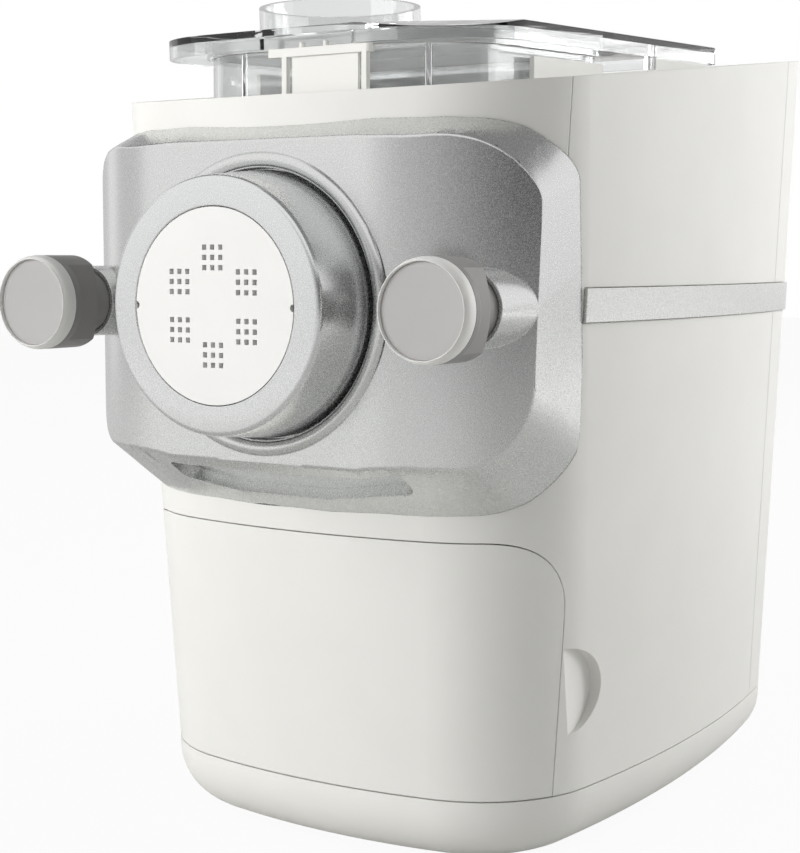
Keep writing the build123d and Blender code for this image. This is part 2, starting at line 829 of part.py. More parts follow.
# ------------------------------------------------------------------ front panel
def panel_frame(setback, low, high, corners, inset):
    """Front-view outline of the panel at one setback: straight sides and four round corners."""
    top_half = panel_half_width + panel_lean * (high - axis_z) - inset
    low_half = panel_half_width + panel_lean * (low - axis_z) - inset
    points = [
        (-low_half, low + inset),
        (low_half, low + inset),
        (top_half, high - inset),
        (-top_half, high - inset),
    ]
    with BuildSketch() as outline:
        with BuildLine():
            Polyline(*points, close=True)
        make_face()
        fillet(outline.vertices().group_by(Axis.Y)[-1], corners[0] - inset)
        fillet(outline.vertices().group_by(Axis.Y)[0], corners[1] - inset)
    return outline.sketch


def face_prism(inset):
    """Upright prism behind the panel's face: flat in the middle, bent back to both sides."""
    front = behind(face_setback) + inset
    bend = face_bend - inset
    turn = radians(face_turn)
    end = (face_flat + bend * sin(turn), front + bend * (1 - cos(turn)))
    rear = behind(panel_rear_setback) + inset / panel_wall
    with BuildPart() as prism:
        with BuildSketch(Plane.XY.offset(panel_rear_low - wall)):
            with BuildLine():
                Line((0, front), (face_flat, front))
                TangentArc((face_flat, front), end, tangent=(1, 0))
                Line(end, (end[0], rear))
                Line((end[0], rear), (0, rear))
                mirror(about=Plane.YZ)
            make_face()
        extrude(amount=panel_rear_high - panel_rear_low + 2 * wall)
    return prism.part


def panel_solid(inset):
    """Body between the panel's outline at its front and at its rear, cut to the bent face."""
    front = (panel_front_setback, panel_front_low, panel_front_high, panel_front_corners)
    rear = (panel_rear_setback, panel_rear_low, panel_rear_high, panel_rear_corners)
    with BuildPart() as body:
        for station in (front, rear):
            with BuildSketch(upright(station[0])):
                add(panel_frame(*station, inset))
        loft(ruled=True)
        add(face_prism(inset), mode=Mode.INTERSECT)
    return body.part


bevel_slope = (panel_rear_low - panel_front_low) / (panel_rear_setback - panel_front_setback)
bevel_plane = Plane(
    origin=(0, behind(panel_front_setback), panel_front_low), x_dir=(1, 0, 0), z_dir=(0, bevel_slope, -1)
)


def grip_pocket(grow):
    """Finger recess sunk into the panel's lower bevel."""
    start = (face_setback - panel_front_setback) * hypot(1, bevel_slope)
    with BuildPart() as pocket:
        with BuildSketch(bevel_plane.offset(wall)):
            with Locations(((grip_left + grip_right) / 2, -start - (grip_top + grip_bottom) / 2)):
                RectangleRounded(
                    grip_right - grip_left + 2 * grow, grip_bottom - grip_top + 2 * grow, grip_corner + grow
                )
        extrude(amount=-(grip_depth + wall + grow))
    return pocket.part


def rolled_collar():
    """Rounded bead on the panel's face, close round the disc ring."""
    base = behind(face_setback) + fit
    low = axis_z + well_radius + collar_gap
    inner = (base, low)
    crest = (behind(face_setback - collar_rise), low + collar_width / 2)
    outer = (base, low + collar_width)
    with BuildPart() as bead:
        with BuildSketch(Plane.YZ):
            with BuildLine():
                ThreePointArc(inner, crest, outer)
                Line(outer, inner)
            make_face()
        revolve(axis=Axis((0, 0, axis_z), (0, 1, 0)))
    return bead.part


tube_passage = tube_radius + fit
tube_seat = well_floor + panel_wall
knob_bore = neck_radius + fit
boss_radius = knob_bore + boss_wall
boss_end = boss_depth + boss_floor

with BuildPart() as front_panel:
    add(panel_solid(0.0))
    with BuildPart(mode=Mode.PRIVATE) as hollow:
        add(panel_solid(panel_wall))
        add(rod(0, axis_z, well_radius + well_wall, 0, tube_seat), mode=Mode.SUBTRACT)
        add(grip_pocket(panel_wall), mode=Mode.SUBTRACT)
        both_sides(rod(knob_x, axis_z, boss_radius, 0, boss_end), mode=Mode.SUBTRACT)
    add(hollow.part, mode=Mode.SUBTRACT)
    both_sides(rod(knob_x, axis_z, boss_radius, boss_front, boss_end))
    add(casing_body(-fit), mode=Mode.SUBTRACT)
    add(rod(0, axis_z, well_radius, 0, well_floor), mode=Mode.SUBTRACT)
    add(rod(0, axis_z, tube_passage, 0, tube_seat), mode=Mode.SUBTRACT)
    add(grip_pocket(0.0), mode=Mode.SUBTRACT)
    both_sides(rod(knob_x, axis_z, knob_bore, 0, boss_depth), mode=Mode.SUBTRACT)
    both_sides(rod(knob_x, axis_z, stud_radius + 2 * fit, 0, boss_end), mode=Mode.SUBTRACT)
    add(rolled_collar())
keep("front_panel", front_panel)

tube_rear = tub_front - fit
tub_collar_front = tub_front - tub_collar
seal_length = 2.4

with BuildPart() as extruder_tube:
    inner = tube_radius - tube_wall
    front = ring_lip + disc_flange + 2 * fit
    step = tube_seat + fit
    profile = [
        (front, inner),
        (front, tube_radius),
        (step, tube_radius),
        (step, tube_flange_radius),
        (step + tube_flange, tube_flange_radius),
        (step + tube_flange, tube_radius),
        (tub_collar_front + tube_wall, tube_radius),
        (tub_collar_front + tube_wall, tube_radius - tube_wall / 2),
        (tub_collar_front + tube_wall + seal_length, tube_radius - tube_wall / 2),
        (tub_collar_front + tube_wall + seal_length, tube_radius),
        (tube_rear, tube_radius),
        (tube_rear, inner),
    ]
    add(turned(profile))
keep("extruder_tube", extruder_tube)

with BuildPart() as tube_seal:
    groove = tub_collar_front + tube_wall
    seal_out = tube_radius + fit / 2
    profile = [
        (groove + fit / 3, tube_radius - tube_wall / 2 + fit / 3),
        (groove + fit / 3, seal_out),
        (groove + seal_length - fit / 3, seal_out),
        (groove + seal_length - fit / 3, tube_radius - tube_wall / 2 + fit / 3),
    ]
    add(turned(profile))
keep("tube_seal", tube_seal)

with BuildPart() as disc_ring:
    profile = [
        (0, ring_mouth),
        (0, ring_radius),
        (ring_edge[0], ring_radius + ring_edge[1]),
        (ring_shoulder, ring_bore + ring_shoulder_wall),
        (ring_rear, ring_rear_radius),
        (ring_rear, ring_bore),
        (ring_lip, ring_bore),
        (ring_lip, ring_mouth),
    ]
    add(turned(profile))
keep("disc_ring", disc_ring)

disc_inner = tube_radius - tube_wall - fit
with BuildPart() as shaping_disc:
    profile = [
        (fit, 0),
        (fit, disc_radius),
        (ring_lip + fit, disc_radius),
        (ring_lip + fit, disc_flange_radius),
        (ring_lip + disc_flange, disc_flange_radius),
        (ring_lip + disc_flange, disc_inner),
        (disc_rear, disc_inner),
        (disc_rear, 0),
    ]
    add(turned(profile))
    with BuildSketch(upright(0)):
        with Locations((0, axis_z)):
            with PolarLocations(disc_group_radius, disc_groups, start_angle=90, rotate=False):
                with GridLocations(disc_pitch, disc_pitch, 3, 3):
                    Rectangle(disc_hole, disc_hole)
        with Locations((-disc_radius, axis_z), (disc_radius, axis_z)):
            Circle(disc_notch)
    extrude(amount=-disc_rear, mode=Mode.SUBTRACT)
keep("shaping_disc", shaping_disc)


# ------------------------------------------------------------------ fixing knobs
def knob_grip():
    """Cross-section of a knob's grip: a disc with both cheeks cut back to shallow arcs."""
    with BuildSketch() as section:
        Circle(knob_radius)
        offset_x = knob_cheek - knob_grip_half
        with Locations((-offset_x, 0)):
            Circle(knob_cheek, mode=Mode.INTERSECT)
        with Locations((offset_x, 0)):
            Circle(knob_cheek, mode=Mode.INTERSECT)
    return section.sketch


neck_end = boss_depth - fit
bore_radius = stud_radius + fit
for side, x in (("left", -knob_x), ("right", knob_x)):
    with BuildPart() as knob_body:
        profile = [
            (knob_trim + close_fit, 0),
            (knob_trim + close_fit, knob_radius),
            (knob_grip_start, knob_radius),
            (knob_grip_start, 0),
        ]
        add(turned(profile, x))
        with BuildSketch(upright(knob_grip_end)):
            with Locations((x, axis_z)):
                add(knob_grip())
        extrude(amount=knob_grip_end - knob_grip_start)
        profile = [
            (knob_grip_end, 0),
            (knob_grip_end, neck_radius),
            (neck_end, neck_radius),
            (neck_end, 0),
        ]
        add(turned(profile, x))
        add(rod(x, axis_z, bore_radius, stud_front - fit, neck_end), mode=Mode.SUBTRACT)
    keep(f"knob_body_{side}", knob_body)

    with BuildPart() as knob_trim_ring:
        profile = [
            (-knob_lip_proud, knob_cap_radius + contact_gap),
            (-knob_lip_proud, knob_cap_radius + knob_lip_width),
            *[(setback, knob_radius - inset) for setback, inset in knob_crown],
            (knob_trim, knob_radius),
            (knob_trim, knob_cap_radius + contact_gap),
        ]
        add(turned(profile, x))
    keep(f"knob_trim_{side}", knob_trim_ring)

    with BuildPart() as knob_cap:
        profile = [
            (knob_cap_setback, 0),
            (knob_cap_setback, knob_cap_radius - knob_cap_edge),
            (knob_cap_setback + knob_cap_edge, knob_cap_radius),
            (knob_trim, knob_cap_radius),
            (knob_trim, 0),
        ]
        add(turned(profile, x))
    keep(f"knob_cap_{side}", knob_cap)

with BuildPart() as fixing_studs:
    stud_end = stud_socket_end - wall - fit
    for x in (-knob_x, knob_x):
        profile = [
            (stud_front, 0),
            (stud_front, stud_radius - stud_point),
            (stud_front + stud_point, stud_radius - contact_gap),
            (stud_end, stud_radius - contact_gap),
            (stud_end, 0),
        ]
        add(turned(profile, x))
keep("fixing_studs", fixing_studs)


# ------------------------------------------------------------------ mixing chamber and lid
def trough(inset, end_inset, top):
    """U-shaped trough about the mixing axis, up to the given height."""
    radius = tub_half_width - inset
    start = tub_front + end_inset
    end = tub_rear - end_inset
    with BuildPart() as body:
        with BuildSketch(upright(end)):
            with Locations((0, axis_z)):
                Circle(radius)
            with Locations((0, (axis_z + top) / 2)):
                Rectangle(2 * radius, top - axis_z)
        extrude(amount=end - start)
        lid_of_trough = block((-side_reach, side_reach), (0, 2 * widest), (top, 3 * axis_z))
        add(lid_of_trough, mode=Mode.SUBTRACT)
    return body.part


shaft_passage = shaft_radius + 2.0
seal_flange_radius = shaft_passage + 3.0
screw_clearance = 1.0
collar_outer = tube_passage + tub_collar_wall
with BuildPart() as mixing_chamber:
    add(trough(0.0, 0.0, tub_shoulder_z))
    with BuildSketch(Plane.XY.offset(tub_shoulder_z)):
        add(tub_outline())
    extrude(amount=gauge_z - tub_shoulder_z)
    add(rod(0, axis_z, collar_outer, tub_collar_front, tub_front))
    add(trough(tub_wall, tub_wall, tub_shoulder_z - tub_wall), mode=Mode.SUBTRACT)
    with BuildSketch(Plane.XY.offset(tub_shoulder_z - 2 * tub_wall)):
        add(tub_outline(tub_wall))
    extrude(amount=gauge_z, mode=Mode.SUBTRACT)
    with BuildSketch(Plane.XY.offset(tub_rib_foot)):
        rib_reach = tub_front_corner - tub_wall
        for side, turn in tub_rib_turns:
            x = side * (tub_half_width - tub_front_corner + rib_reach * cos(radians(turn)))
            setback = tub_front + tub_front_corner - rib_reach * sin(radians(turn))
            with Locations((x, behind(setback))):
                Circle(tub_rib_radius)
    extrude(amount=gauge_z - tub_rib_foot)
    split(bisect_by=lid_plane.offset(-fit), keep=Keep.BOTTOM)
    add(rod(0, axis_z, tube_passage, 0, tub_front), mode=Mode.SUBTRACT)
    add(rod(0, axis_z, screw_radius + screw_clearance, 0, tub_front + tub_wall), mode=Mode.SUBTRACT)
    add(rod(0, axis_z, shaft_passage, 0, tub_rear), mode=Mode.SUBTRACT)
keep("mixing_chamber", mixing_chamber)

with BuildPart() as shaft_seal:
    profile = [
        (tub_rear - tub_wall, shaft_radius + close_fit),
        (tub_rear - tub_wall, shaft_passage - contact_gap),
        (tub_rear + close_fit, shaft_passage - contact_gap),
        (tub_rear + close_fit, seal_flange_radius),
        (tub_rear + tub_wall, seal_flange_radius),
        (tub_rear + tub_wall, shaft_radius + close_fit),
    ]
    add(turned(profile))
keep("shaft_seal", shaft_seal)


def lid_outline(inset=0.0):
    """Plan of the lid in its own plane, measured from its front edge."""
    front = inset
    shoulder = lid_front_bow + inset
    rear = lid_length - inset
    front_half = lid_front_half_width - inset
    rear_half = lid_rear_half_width - inset
    with BuildSketch() as outline:
        with BuildLine():
            TangentArc((0, front), (front_half, shoulder), tangent=(1, 0))
            Line((front_half, shoulder), (rear_half, rear))
            Line((rear_half, rear), (0, rear))
            mirror(about=Plane.YZ)
        make_face()
        sharp = outline.vertices().filter_by(lambda vertex: abs(vertex.X) > wall)
        fillet(sharp.group_by(Axis.Y)[0], lid_front_corner - inset)
        sharp = outline.vertices().filter_by(lambda vertex: abs(vertex.X) > wall)
        fillet(sharp.group_by(Axis.Y)[-1], lid_rear_corner - inset)
    return outline.sketch


lid_roof = lid_height - lid_wall
rib_gap = 0.8
rib_thickness = 1.8
funnel_tilt = (0.133, -0.23, 1)

with BuildPart() as lid:
    with BuildSketch(lid_plane):
        add(lid_outline())
    extrude(amount=lid_height)
    with BuildSketch(lid_plane):
        add(lid_outline(lid_wall))
    extrude(amount=lid_roof, mode=Mode.SUBTRACT)
    with BuildPart(mode=Mode.PRIVATE) as rib:
        with BuildSketch(Plane.XY.offset(gauge_z - 3 * tub_front_corner)):
            add(tub_outline(-rib_gap - rib_thickness))
            add(tub_outline(-rib_gap), mode=Mode.SUBTRACT)
        extrude(amount=axis_z)
        split(bisect_by=lid_plane, keep=Keep.TOP)
        split(bisect_by=lid_plane.offset(lid_roof), keep=Keep.BOTTOM)
    add(rib.part)
    with BuildSketch(lid_plane.offset(lid_roof)):
        with Locations((0, funnel_centre)):
            Circle(funnel_radius)
    extrude(amount=lid_wall + 2 * funnel_height)
    slant = lid_plane.offset(lid_height + funnel_height)
    cut_origin = slant.from_local_coords(Vector(0, funnel_centre, 0))
    split(bisect_by=Plane(origin=cut_origin, z_dir=funnel_tilt), keep=Keep.BOTTOM)
    with BuildSketch(lid_plane.offset(lid_roof)):
        with Locations((0, funnel_centre)):
            Circle(funnel_radius - funnel_wall)
    extrude(amount=lid_wall + 2 * funnel_height, mode=Mode.SUBTRACT)
    notch_middle = (notch_left + notch_right) / 2
    with BuildSketch(lid_plane):
        with Locations((notch_middle, 0)):
            Rectangle(notch_right - notch_left, 3 * lid_wall)
    extrude(amount=lid_roof, mode=Mode.SUBTRACT)
    with BuildPart(mode=Mode.PRIVATE) as pegs:
        inside = (tub_half_width + upstand_wall + 4 * wall, tub_half_width + upstand_wall + 5 * wall)
        peg = block(inside, (peg_setback, peg_setback + 2 * wall), (rim_start_z, gauge_z))
        both_sides(peg)
        split(bisect_by=lid_plane.offset(-peg_length), keep=Keep.TOP)
        split(bisect_by=lid_plane.offset(lid_roof), keep=Keep.BOTTOM)
    add(pegs.part)
keep("lid", lid)

with BuildPart() as lid_seal:
    with BuildSketch(Plane.XY.offset(rim_start_z)):
        add(tub_outline(fit))
        add(tub_outline(tub_wall - fit), mode=Mode.SUBTRACT)
    extrude(amount=axis_z)
    split(bisect_by=lid_plane, keep=Keep.TOP)
    split(bisect_by=lid_plane.offset(lid_roof), keep=Keep.BOTTOM)
keep("lid_seal", lid_seal)

with BuildPart() as lid_latch:
    bar_top = latch_bar_z + latch_bar_height
    bar = (latch_x - latch_span - latch_bar_left, latch_x + latch_span + latch_bar_right)
    add(block(bar, (latch_setback, latch_rear), (latch_bar_z, bar_top)))
    bar_ends = lid_latch.edges().filter_by(Axis.Z).group_by(Axis.X)
    fillet(bar_ends[-1].sort_by(Axis.Y)[0], latch_bar_round)
    panel_half_span = latch_panel_width / 2 - latch_panel_gap
    panel = (latch_x - panel_half_span, latch_x + panel_half_span)
    add(block(panel, (latch_setback + latch_panel_recess, latch_rear), (latch_pivot_z, latch_bar_z)))
    for leg_x in (latch_x - latch_span, latch_x + latch_panel_width / 2):
        leg = (leg_x, leg_x + latch_leg)
        add(block(leg, (latch_setback, latch_rear), (latch_pivot_z, latch_bar_z)))
    with BuildSketch(Plane.YZ.offset(latch_x - latch_span - latch_ear)):
        with Locations((behind(latch_middle), latch_pivot_z)):
            Circle(latch_pin_radius)
    extrude(amount=2 * (latch_span + latch_ear))
    for place in latch_post_places:
        with BuildSketch(Plane.XY.offset(bar_top)):
            with Locations((latch_x + place, behind(latch_middle))):
                Circle(latch_thickness / 2 - close_fit)
        extrude(amount=latch_post_height)
keep("lid_latch", lid_latch)


# ------------------------------------------------------------------ drive
def involute_point(base, angle, turn, side):
    """Point on an involute that starts at the given angle on its base circle."""
    reach = base * sqrt(1 + turn**2)
    heading = angle + side * (turn - atan2(turn, 1))
    return (reach * cos(heading), reach * sin(heading))


def gear_outline(teeth, first_tooth):
    """Spur gear outline with involute flanks; first_tooth is the direction of one tooth, in radians."""
    pitch_radius = teeth * tooth_module / 2
    base = pitch_radius * cos(pressure_angle)
    tip = pitch_radius + tooth_module
    root = pitch_radius - 1.25 * tooth_module
    involute = tan(pressure_angle) - pressure_angle
    half_tooth = (pi / 2 - tooth_backlash / tooth_module) / teeth + involute
    last_turn = sqrt((tip / base) ** 2 - 1)
    turns = [last_turn * step / flank_steps for step in range(flank_steps + 1)]
    points = []
    for tooth in range(teeth):
        middle = first_tooth + 2 * pi * tooth / teeth
        start = middle - half_tooth
        end = middle + half_tooth
        points.append((root * cos(start), root * sin(start)))
        points.extend(involute_point(base, start, turn, 1) for turn in turns)
        points.extend(involute_point(base, end, turn, -1) for turn in reversed(turns))
        points.append((root * cos(end), root * sin(end)))
    with BuildSketch() as outline:
        with BuildLine():
            Polyline(*points, close=True)
        make_face()
    return outline.sketch


gear_start = gearbox_front + gearbox_wall + gear_gap
gear_end = gear_start + gear_width
drive_phase = radians(idler_direction)
idler_phase = drive_phase + pi + pi / idler_teeth
idler_pitch = 2 * pi / idler_teeth
idler_offset = (radians(pinion_direction) - idler_phase) % idler_pitch
pinion_phase = radians(pinion_direction) + pi + pi / pinion_teeth
pinion_phase += idler_offset * idler_teeth / pinion_teeth
blade_width = 7.0
blade_thickness = 6.0
blade_gap = 19.0
blade_lead = 11.4
blade_turn = 75.0
blade_count = 5
hub_radius = 9.5
hub_front_gap = 4.0
hub_rear_gap = 3.0
shaft_hold = 34.0
shaft_tail = 6.0
screw_gap = 1.0
hub_start = tub_front + hub_front_gap
hub_end = tub_rear - tub_wall - hub_rear_gap
shaft_start = tub_rear - shaft_hold
shaft_end = bulkhead_rear + shaft_tail
screw_front = disc_rear + screw_gap
screw_core = 13.0
screw_turn = 180.0
flight_thickness = 9.0

with BuildPart() as drive_gear:
    with BuildSketch(upright(gear_end)):
        with Locations((0, axis_z)):
            add(gear_outline(drive_teeth, drive_phase))
            RegularPolygon(shaft_radius + close_fit, 6, mode=Mode.SUBTRACT)
            with PolarLocations(drive_pitch_radius / 2 + shaft_radius / 2, 6):
                Circle(drive_pitch_radius / 6, mode=Mode.SUBTRACT)
    extrude(amount=gear_width)
keep("drive_gear", drive_gear)

with BuildPart() as idler_gear:
    with BuildSketch(upright(gear_end)):
        with Locations(idler_centre):
            add(gear_outline(idler_teeth, idler_phase))
            Circle(pin_radius + close_fit, mode=Mode.SUBTRACT)
    extrude(amount=gear_width)
keep("idler_gear", idler_gear)

motor_start = bulkhead_rear + fit
motor_end = motor_start + motor_length
rotor_gap = 10.0
rotor_radius = motor_radius - rotor_gap
rotor_shaft = 4.0
motor_wall = 2.0
motor_vents = 8
motor_vent_radius = 3.0
motor_vent_ring = 21.0
with BuildPart() as motor_rotor:
    with BuildSketch(upright(gear_end)):
        with Locations(pinion_centre):
            add(gear_outline(pinion_teeth, pinion_phase))
    extrude(amount=gear_width)
    add(rod(*pinion_centre, pin_radius, gear_start, motor_end + motor_wall))
    add(rod(*pinion_centre, rotor_shaft, motor_start + 2 * motor_wall, motor_end - 2 * motor_wall))
    add(rod(*pinion_centre, rotor_radius, motor_start + 5 * motor_wall, motor_end - 8 * motor_wall))
keep("motor_rotor", motor_rotor)

with BuildPart() as motor_can:
    add(rod(*pinion_centre, motor_radius, motor_start, motor_end))
    inside = (motor_start + motor_wall, motor_end - motor_wall)
    add(rod(*pinion_centre, motor_radius - motor_wall, *inside), mode=Mode.SUBTRACT)
    add(rod(*pinion_centre, pin_radius + close_fit, 0, 2 * widest), mode=Mode.SUBTRACT)
    with BuildSketch(upright(motor_end)):
        with Locations(pinion_centre):
            with PolarLocations(motor_vent_ring, motor_vents):
                Circle(motor_vent_radius)
    extrude(amount=motor_wall, mode=Mode.SUBTRACT)
keep("motor_can", motor_can)

with BuildPart() as gearbox_cover:
    tip_gap = tooth_module + 2 * fit
    circles = (
        ((0, axis_z), drive_pitch_radius + tip_gap),
        (idler_centre, idler_pitch_radius + tip_gap),
        (pinion_centre, pinion_pitch_radius + tip_gap),
    )
    for grow, start, end, mode in (
        (gearbox_wall, gearbox_front, bulkhead - contact_gap, Mode.ADD),
        (0.0, gearbox_front + gearbox_wall, bulkhead, Mode.SUBTRACT),
    ):
        for centre, radius in circles:
            add(rod(*centre, radius + grow, start, end), mode=mode)
    add(rod(0, axis_z, shaft_radius + 2 * fit, 0, gear_end), mode=Mode.SUBTRACT)
keep("gearbox_cover", gearbox_cover)

with BuildPart() as idler_pin:
    add(rod(*idler_centre, pin_radius, gearbox_front + gearbox_wall, bulkhead))
    add(rod(*idler_centre, 2 * pin_radius, gear_end + fit, bulkhead))
keep("idler_pin", idler_pin)

with BuildPart() as drive_shaft:
    with BuildSketch(upright(shaft_end)):
        with Locations((0, axis_z)):
            RegularPolygon(shaft_radius, 6)
    extrude(amount=shaft_end - shaft_start)
keep("drive_shaft", drive_shaft)

with BuildPart() as mixing_paddle:
    add(rod(0, axis_z, hub_radius, hub_start, hub_end))
    for blade in range(blade_count):
        setback = hub_start + blade_lead + blade_gap * blade
        with BuildSketch(upright(setback + blade_width)):
            with Locations((0, axis_z)):
                with Locations(Rotation(0, 0, blade_turn * blade)):
                    SlotOverall(2 * paddle_reach, blade_thickness)
        extrude(amount=blade_width)
    with BuildSketch(upright(hub_end)):
        with Locations((0, axis_z)):
            RegularPolygon(shaft_radius + close_fit, 6)
    extrude(amount=hub_end - shaft_start + fit, mode=Mode.SUBTRACT)
keep("mixing_paddle", mixing_paddle)

screw_end = hub_start - close_fit
with BuildPart() as extruding_screw:
    add(rod(0, axis_z, screw_core, screw_front, screw_end))
    with BuildSketch(upright(screw_end), mode=Mode.PRIVATE) as flight:
        with Locations((0, axis_z)):
            Rectangle(2 * screw_radius, flight_thickness)
            Circle(screw_radius, mode=Mode.INTERSECT)
    centre = Vector(0, behind(screw_end), axis_z)
    run = Vector(0, screw_front - screw_end, 0)
    flight_wire = flight.sketch.faces()[0].outer_wire()
    add(Solid.extrude_linear_with_rotation(flight_wire, centre, run, screw_turn))
keep("extruding_screw", extruding_screw)


# ------------------------------------------------------------------ drawer
drawer_back_gap = 2.0
box_rear = bulkhead - drawer_back_gap
box_top = drawer_floor_z + drawer_height


def drawer_block(inset, side_inset, low, rear):
    """Inside of the casing's front, cut to the drawer's width and length."""
    with BuildPart() as body:
        add(casing_body(inset))
        reach = (side_inset - drawer_half_width, drawer_half_width - side_inset)
        add(block(reach, (0, rear), (low, box_top)), mode=Mode.INTERSECT)
    return body.part


with BuildPart() as drawer_front:
    add(casing_wall())
    add(drawer_region(), mode=Mode.INTERSECT)
    with BuildSketch(Plane.XY):
        Rectangle(2 * side_reach, 2 * side_reach)
    extrude(amount=seam_z + fit / 3, mode=Mode.SUBTRACT)
keep("drawer_front", drawer_front)

with BuildPart() as drawer_box:
    add(drawer_block(wall + fit, 0.0, drawer_floor_z, box_rear))
    inside_floor = drawer_floor_z + drawer_wall
    inside_rear = box_rear - drawer_wall
    add(drawer_block(wall + fit + drawer_wall, drawer_wall, inside_floor, inside_rear), mode=Mode.SUBTRACT)
    add(block((-side_reach, side_reach), (0, 2 * widest), (box_top - wall, 2 * box_top)), mode=Mode.SUBTRACT)
keep("drawer_box", drawer_box)

spare_places = {"ribbon_disc": (-39.0, 132.0), "lasagne_disc": (37.0, 166.0)}
spare_z = drawer_floor_z + drawer_wall + close_fit
spare_height = 12.0
slit = (1.6, 26.0)
ribbon_slits = 6
ribbon_pitch = 6.4
lasagne_pitch = 19.2
for name, place in spare_places.items():
    with BuildPart() as spare:
        centre = (place[0], behind(place[1]))
        with BuildSketch(Plane.XY.offset(spare_z)):
            with Locations(centre):
                Circle(disc_inner)
        extrude(amount=spare_height)
        with BuildSketch(Plane.XY.offset(spare_z + ring_lip)):
            with Locations(centre):
                Circle(disc_flange_radius)
        extrude(amount=disc_flange)
        with BuildSketch(Plane.XY.offset(spare_z)):
            with Locations(centre):
                if name == "ribbon_disc":
                    with GridLocations(ribbon_pitch, 0, ribbon_slits, 1):
                        Rectangle(slit[0], slit[1])
                else:
                    with GridLocations(0, lasagne_pitch, 1, 2):
                        SlotOverall(2 * slit[1], slit[0])
        extrude(amount=spare_height, mode=Mode.SUBTRACT)
    keep(name, spare)


# ------------------------------------------------------------------ electrical pieces
with BuildPart() as mains_inlet:
    outside = back_at(inlet_z) + inlet_flange_thickness + fit
    with BuildSketch(upright(outside)):
        with Locations((inlet_x, inlet_z)):
            Rectangle(*inlet_flange)
    extrude(amount=inlet_flange_thickness - fit / 3)
    with BuildSketch(upright(outside)):
        with Locations((inlet_x, inlet_z)):
            Rectangle(*inlet_body)
    extrude(amount=inlet_depth)
    with BuildSketch(upright(outside)):
        with Locations((inlet_x, inlet_z)):
            Rectangle(*inlet_recess)
    extrude(amount=inlet_recess_depth, mode=Mode.SUBTRACT)
    with BuildSketch(upright(outside - inlet_pin_sink)):
        for x, z in inlet_pins:
            with Locations((inlet_x + x, inlet_z + z)):
                Rectangle(*inlet_pin_size)
    extrude(amount=inlet_recess_depth)
keep("mains_inlet", mains_inlet)

main_board_z = (206.0, 268.0)
main_board_half = 72.0
main_board_gap = 8.0
spacer_margin = 5.0
transformer_x = (-60.0, -24.0)
transformer_z = (214.0, 250.0)
transformer_height = 26.0
relay_x = (2.0, 26.0)
relay_z = (216.0, 236.0)
relay_height = 14.0
capacitor_places = ((36.0, 230.0), (56.0, 230.0))
capacitor_radius = 8.0
capacitor_height = 30.0
with BuildPart() as main_board:
    front = bulkhead_rear + main_board_gap
    rear = front + board_thickness
    add(block((-main_board_half, main_board_half), (front, rear), main_board_z))
    add(block(transformer_x, (rear, rear + transformer_height), transformer_z))
    add(block(relay_x, (rear, rear + relay_height), relay_z))
    for x, z in capacitor_places:
        add(rod(x, z, capacitor_radius, rear, rear + capacitor_height))
    for z in (main_board_z[0] + spacer_margin, main_board_z[1] - spacer_margin):
        both_sides(rod(main_board_half - spacer_margin, z, wall, bulkhead_rear, front))
keep("main_board", main_board)

switch_size = (11.0, 12.0, 22.0)
switch_tongue = 6.0
tongue_low = 6.0
tongue_high = 5.0
switch_z = rim_start_z + rim_slope * (peg_setback - rim_start_setback) - deck_drop
switch_x = peg_box[1] + wall / 2
with BuildPart() as lid_switch:
    beside = (switch_x, switch_x + switch_size[0])
    add(block(beside, (peg_setback, peg_setback + switch_size[1]), (switch_z - switch_size[2], switch_z)))
    tongue = (switch_x - switch_tongue, switch_x)
    add(block(tongue, (peg_setback, peg_setback + 2 * wall), (switch_z - tongue_low, switch_z - tongue_high)))
    split(bisect_by=deck_bottom.offset(-fit / 3), keep=Keep.BOTTOM)
keep("lid_switch", lid_switch)
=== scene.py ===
"""Dresses the electric pasta maker: finishes for every part, a panel with level rims, a turned ring and
turned knobs, a pale studio and a camera."""

import math

import bmesh
import bpy
import numpy
from bpy.props import FloatProperty, FloatVectorProperty, PointerProperty
from bpy.types import Operator, Panel, PropertyGroup
from mathutils import Matrix, Vector


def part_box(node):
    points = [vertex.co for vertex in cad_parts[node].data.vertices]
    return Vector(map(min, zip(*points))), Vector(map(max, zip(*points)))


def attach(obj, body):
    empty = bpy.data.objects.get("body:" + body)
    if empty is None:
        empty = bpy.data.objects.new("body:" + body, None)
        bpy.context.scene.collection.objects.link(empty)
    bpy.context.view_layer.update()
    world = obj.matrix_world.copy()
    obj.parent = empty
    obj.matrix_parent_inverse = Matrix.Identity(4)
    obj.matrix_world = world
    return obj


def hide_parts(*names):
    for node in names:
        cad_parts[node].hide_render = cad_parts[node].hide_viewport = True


bl_info = {
    "name": "Pasta maker dressing",
    "version": (1, 0, 0),
    "blender": (4, 5, 0),
    "location": "3D View > Sidebar > Pasta maker",
    "description": "Finishes and modelled pieces for an electric pasta maker",
    "category": "Object",
}

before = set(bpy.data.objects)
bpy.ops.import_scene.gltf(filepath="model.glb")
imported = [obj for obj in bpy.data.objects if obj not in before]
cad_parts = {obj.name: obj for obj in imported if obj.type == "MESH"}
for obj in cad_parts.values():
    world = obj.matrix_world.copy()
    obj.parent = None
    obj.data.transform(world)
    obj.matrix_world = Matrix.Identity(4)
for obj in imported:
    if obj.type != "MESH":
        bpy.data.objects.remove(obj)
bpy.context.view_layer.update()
MM = 0.001
JOIN = 0.001 * MM   # points closer than this are one


# ------------------------------------------------------------------ small helpers
def linear(hex_colour):
    """Linear RGB of an sRGB hex colour such as F1F0EC."""
    channels = [int(hex_colour[i:i + 2], 16) / 255 for i in (0, 2, 4)]
    return tuple(c / 12.92 if c <= 0.04045 else ((c + 0.055) / 1.055) ** 2.4 for c in channels)


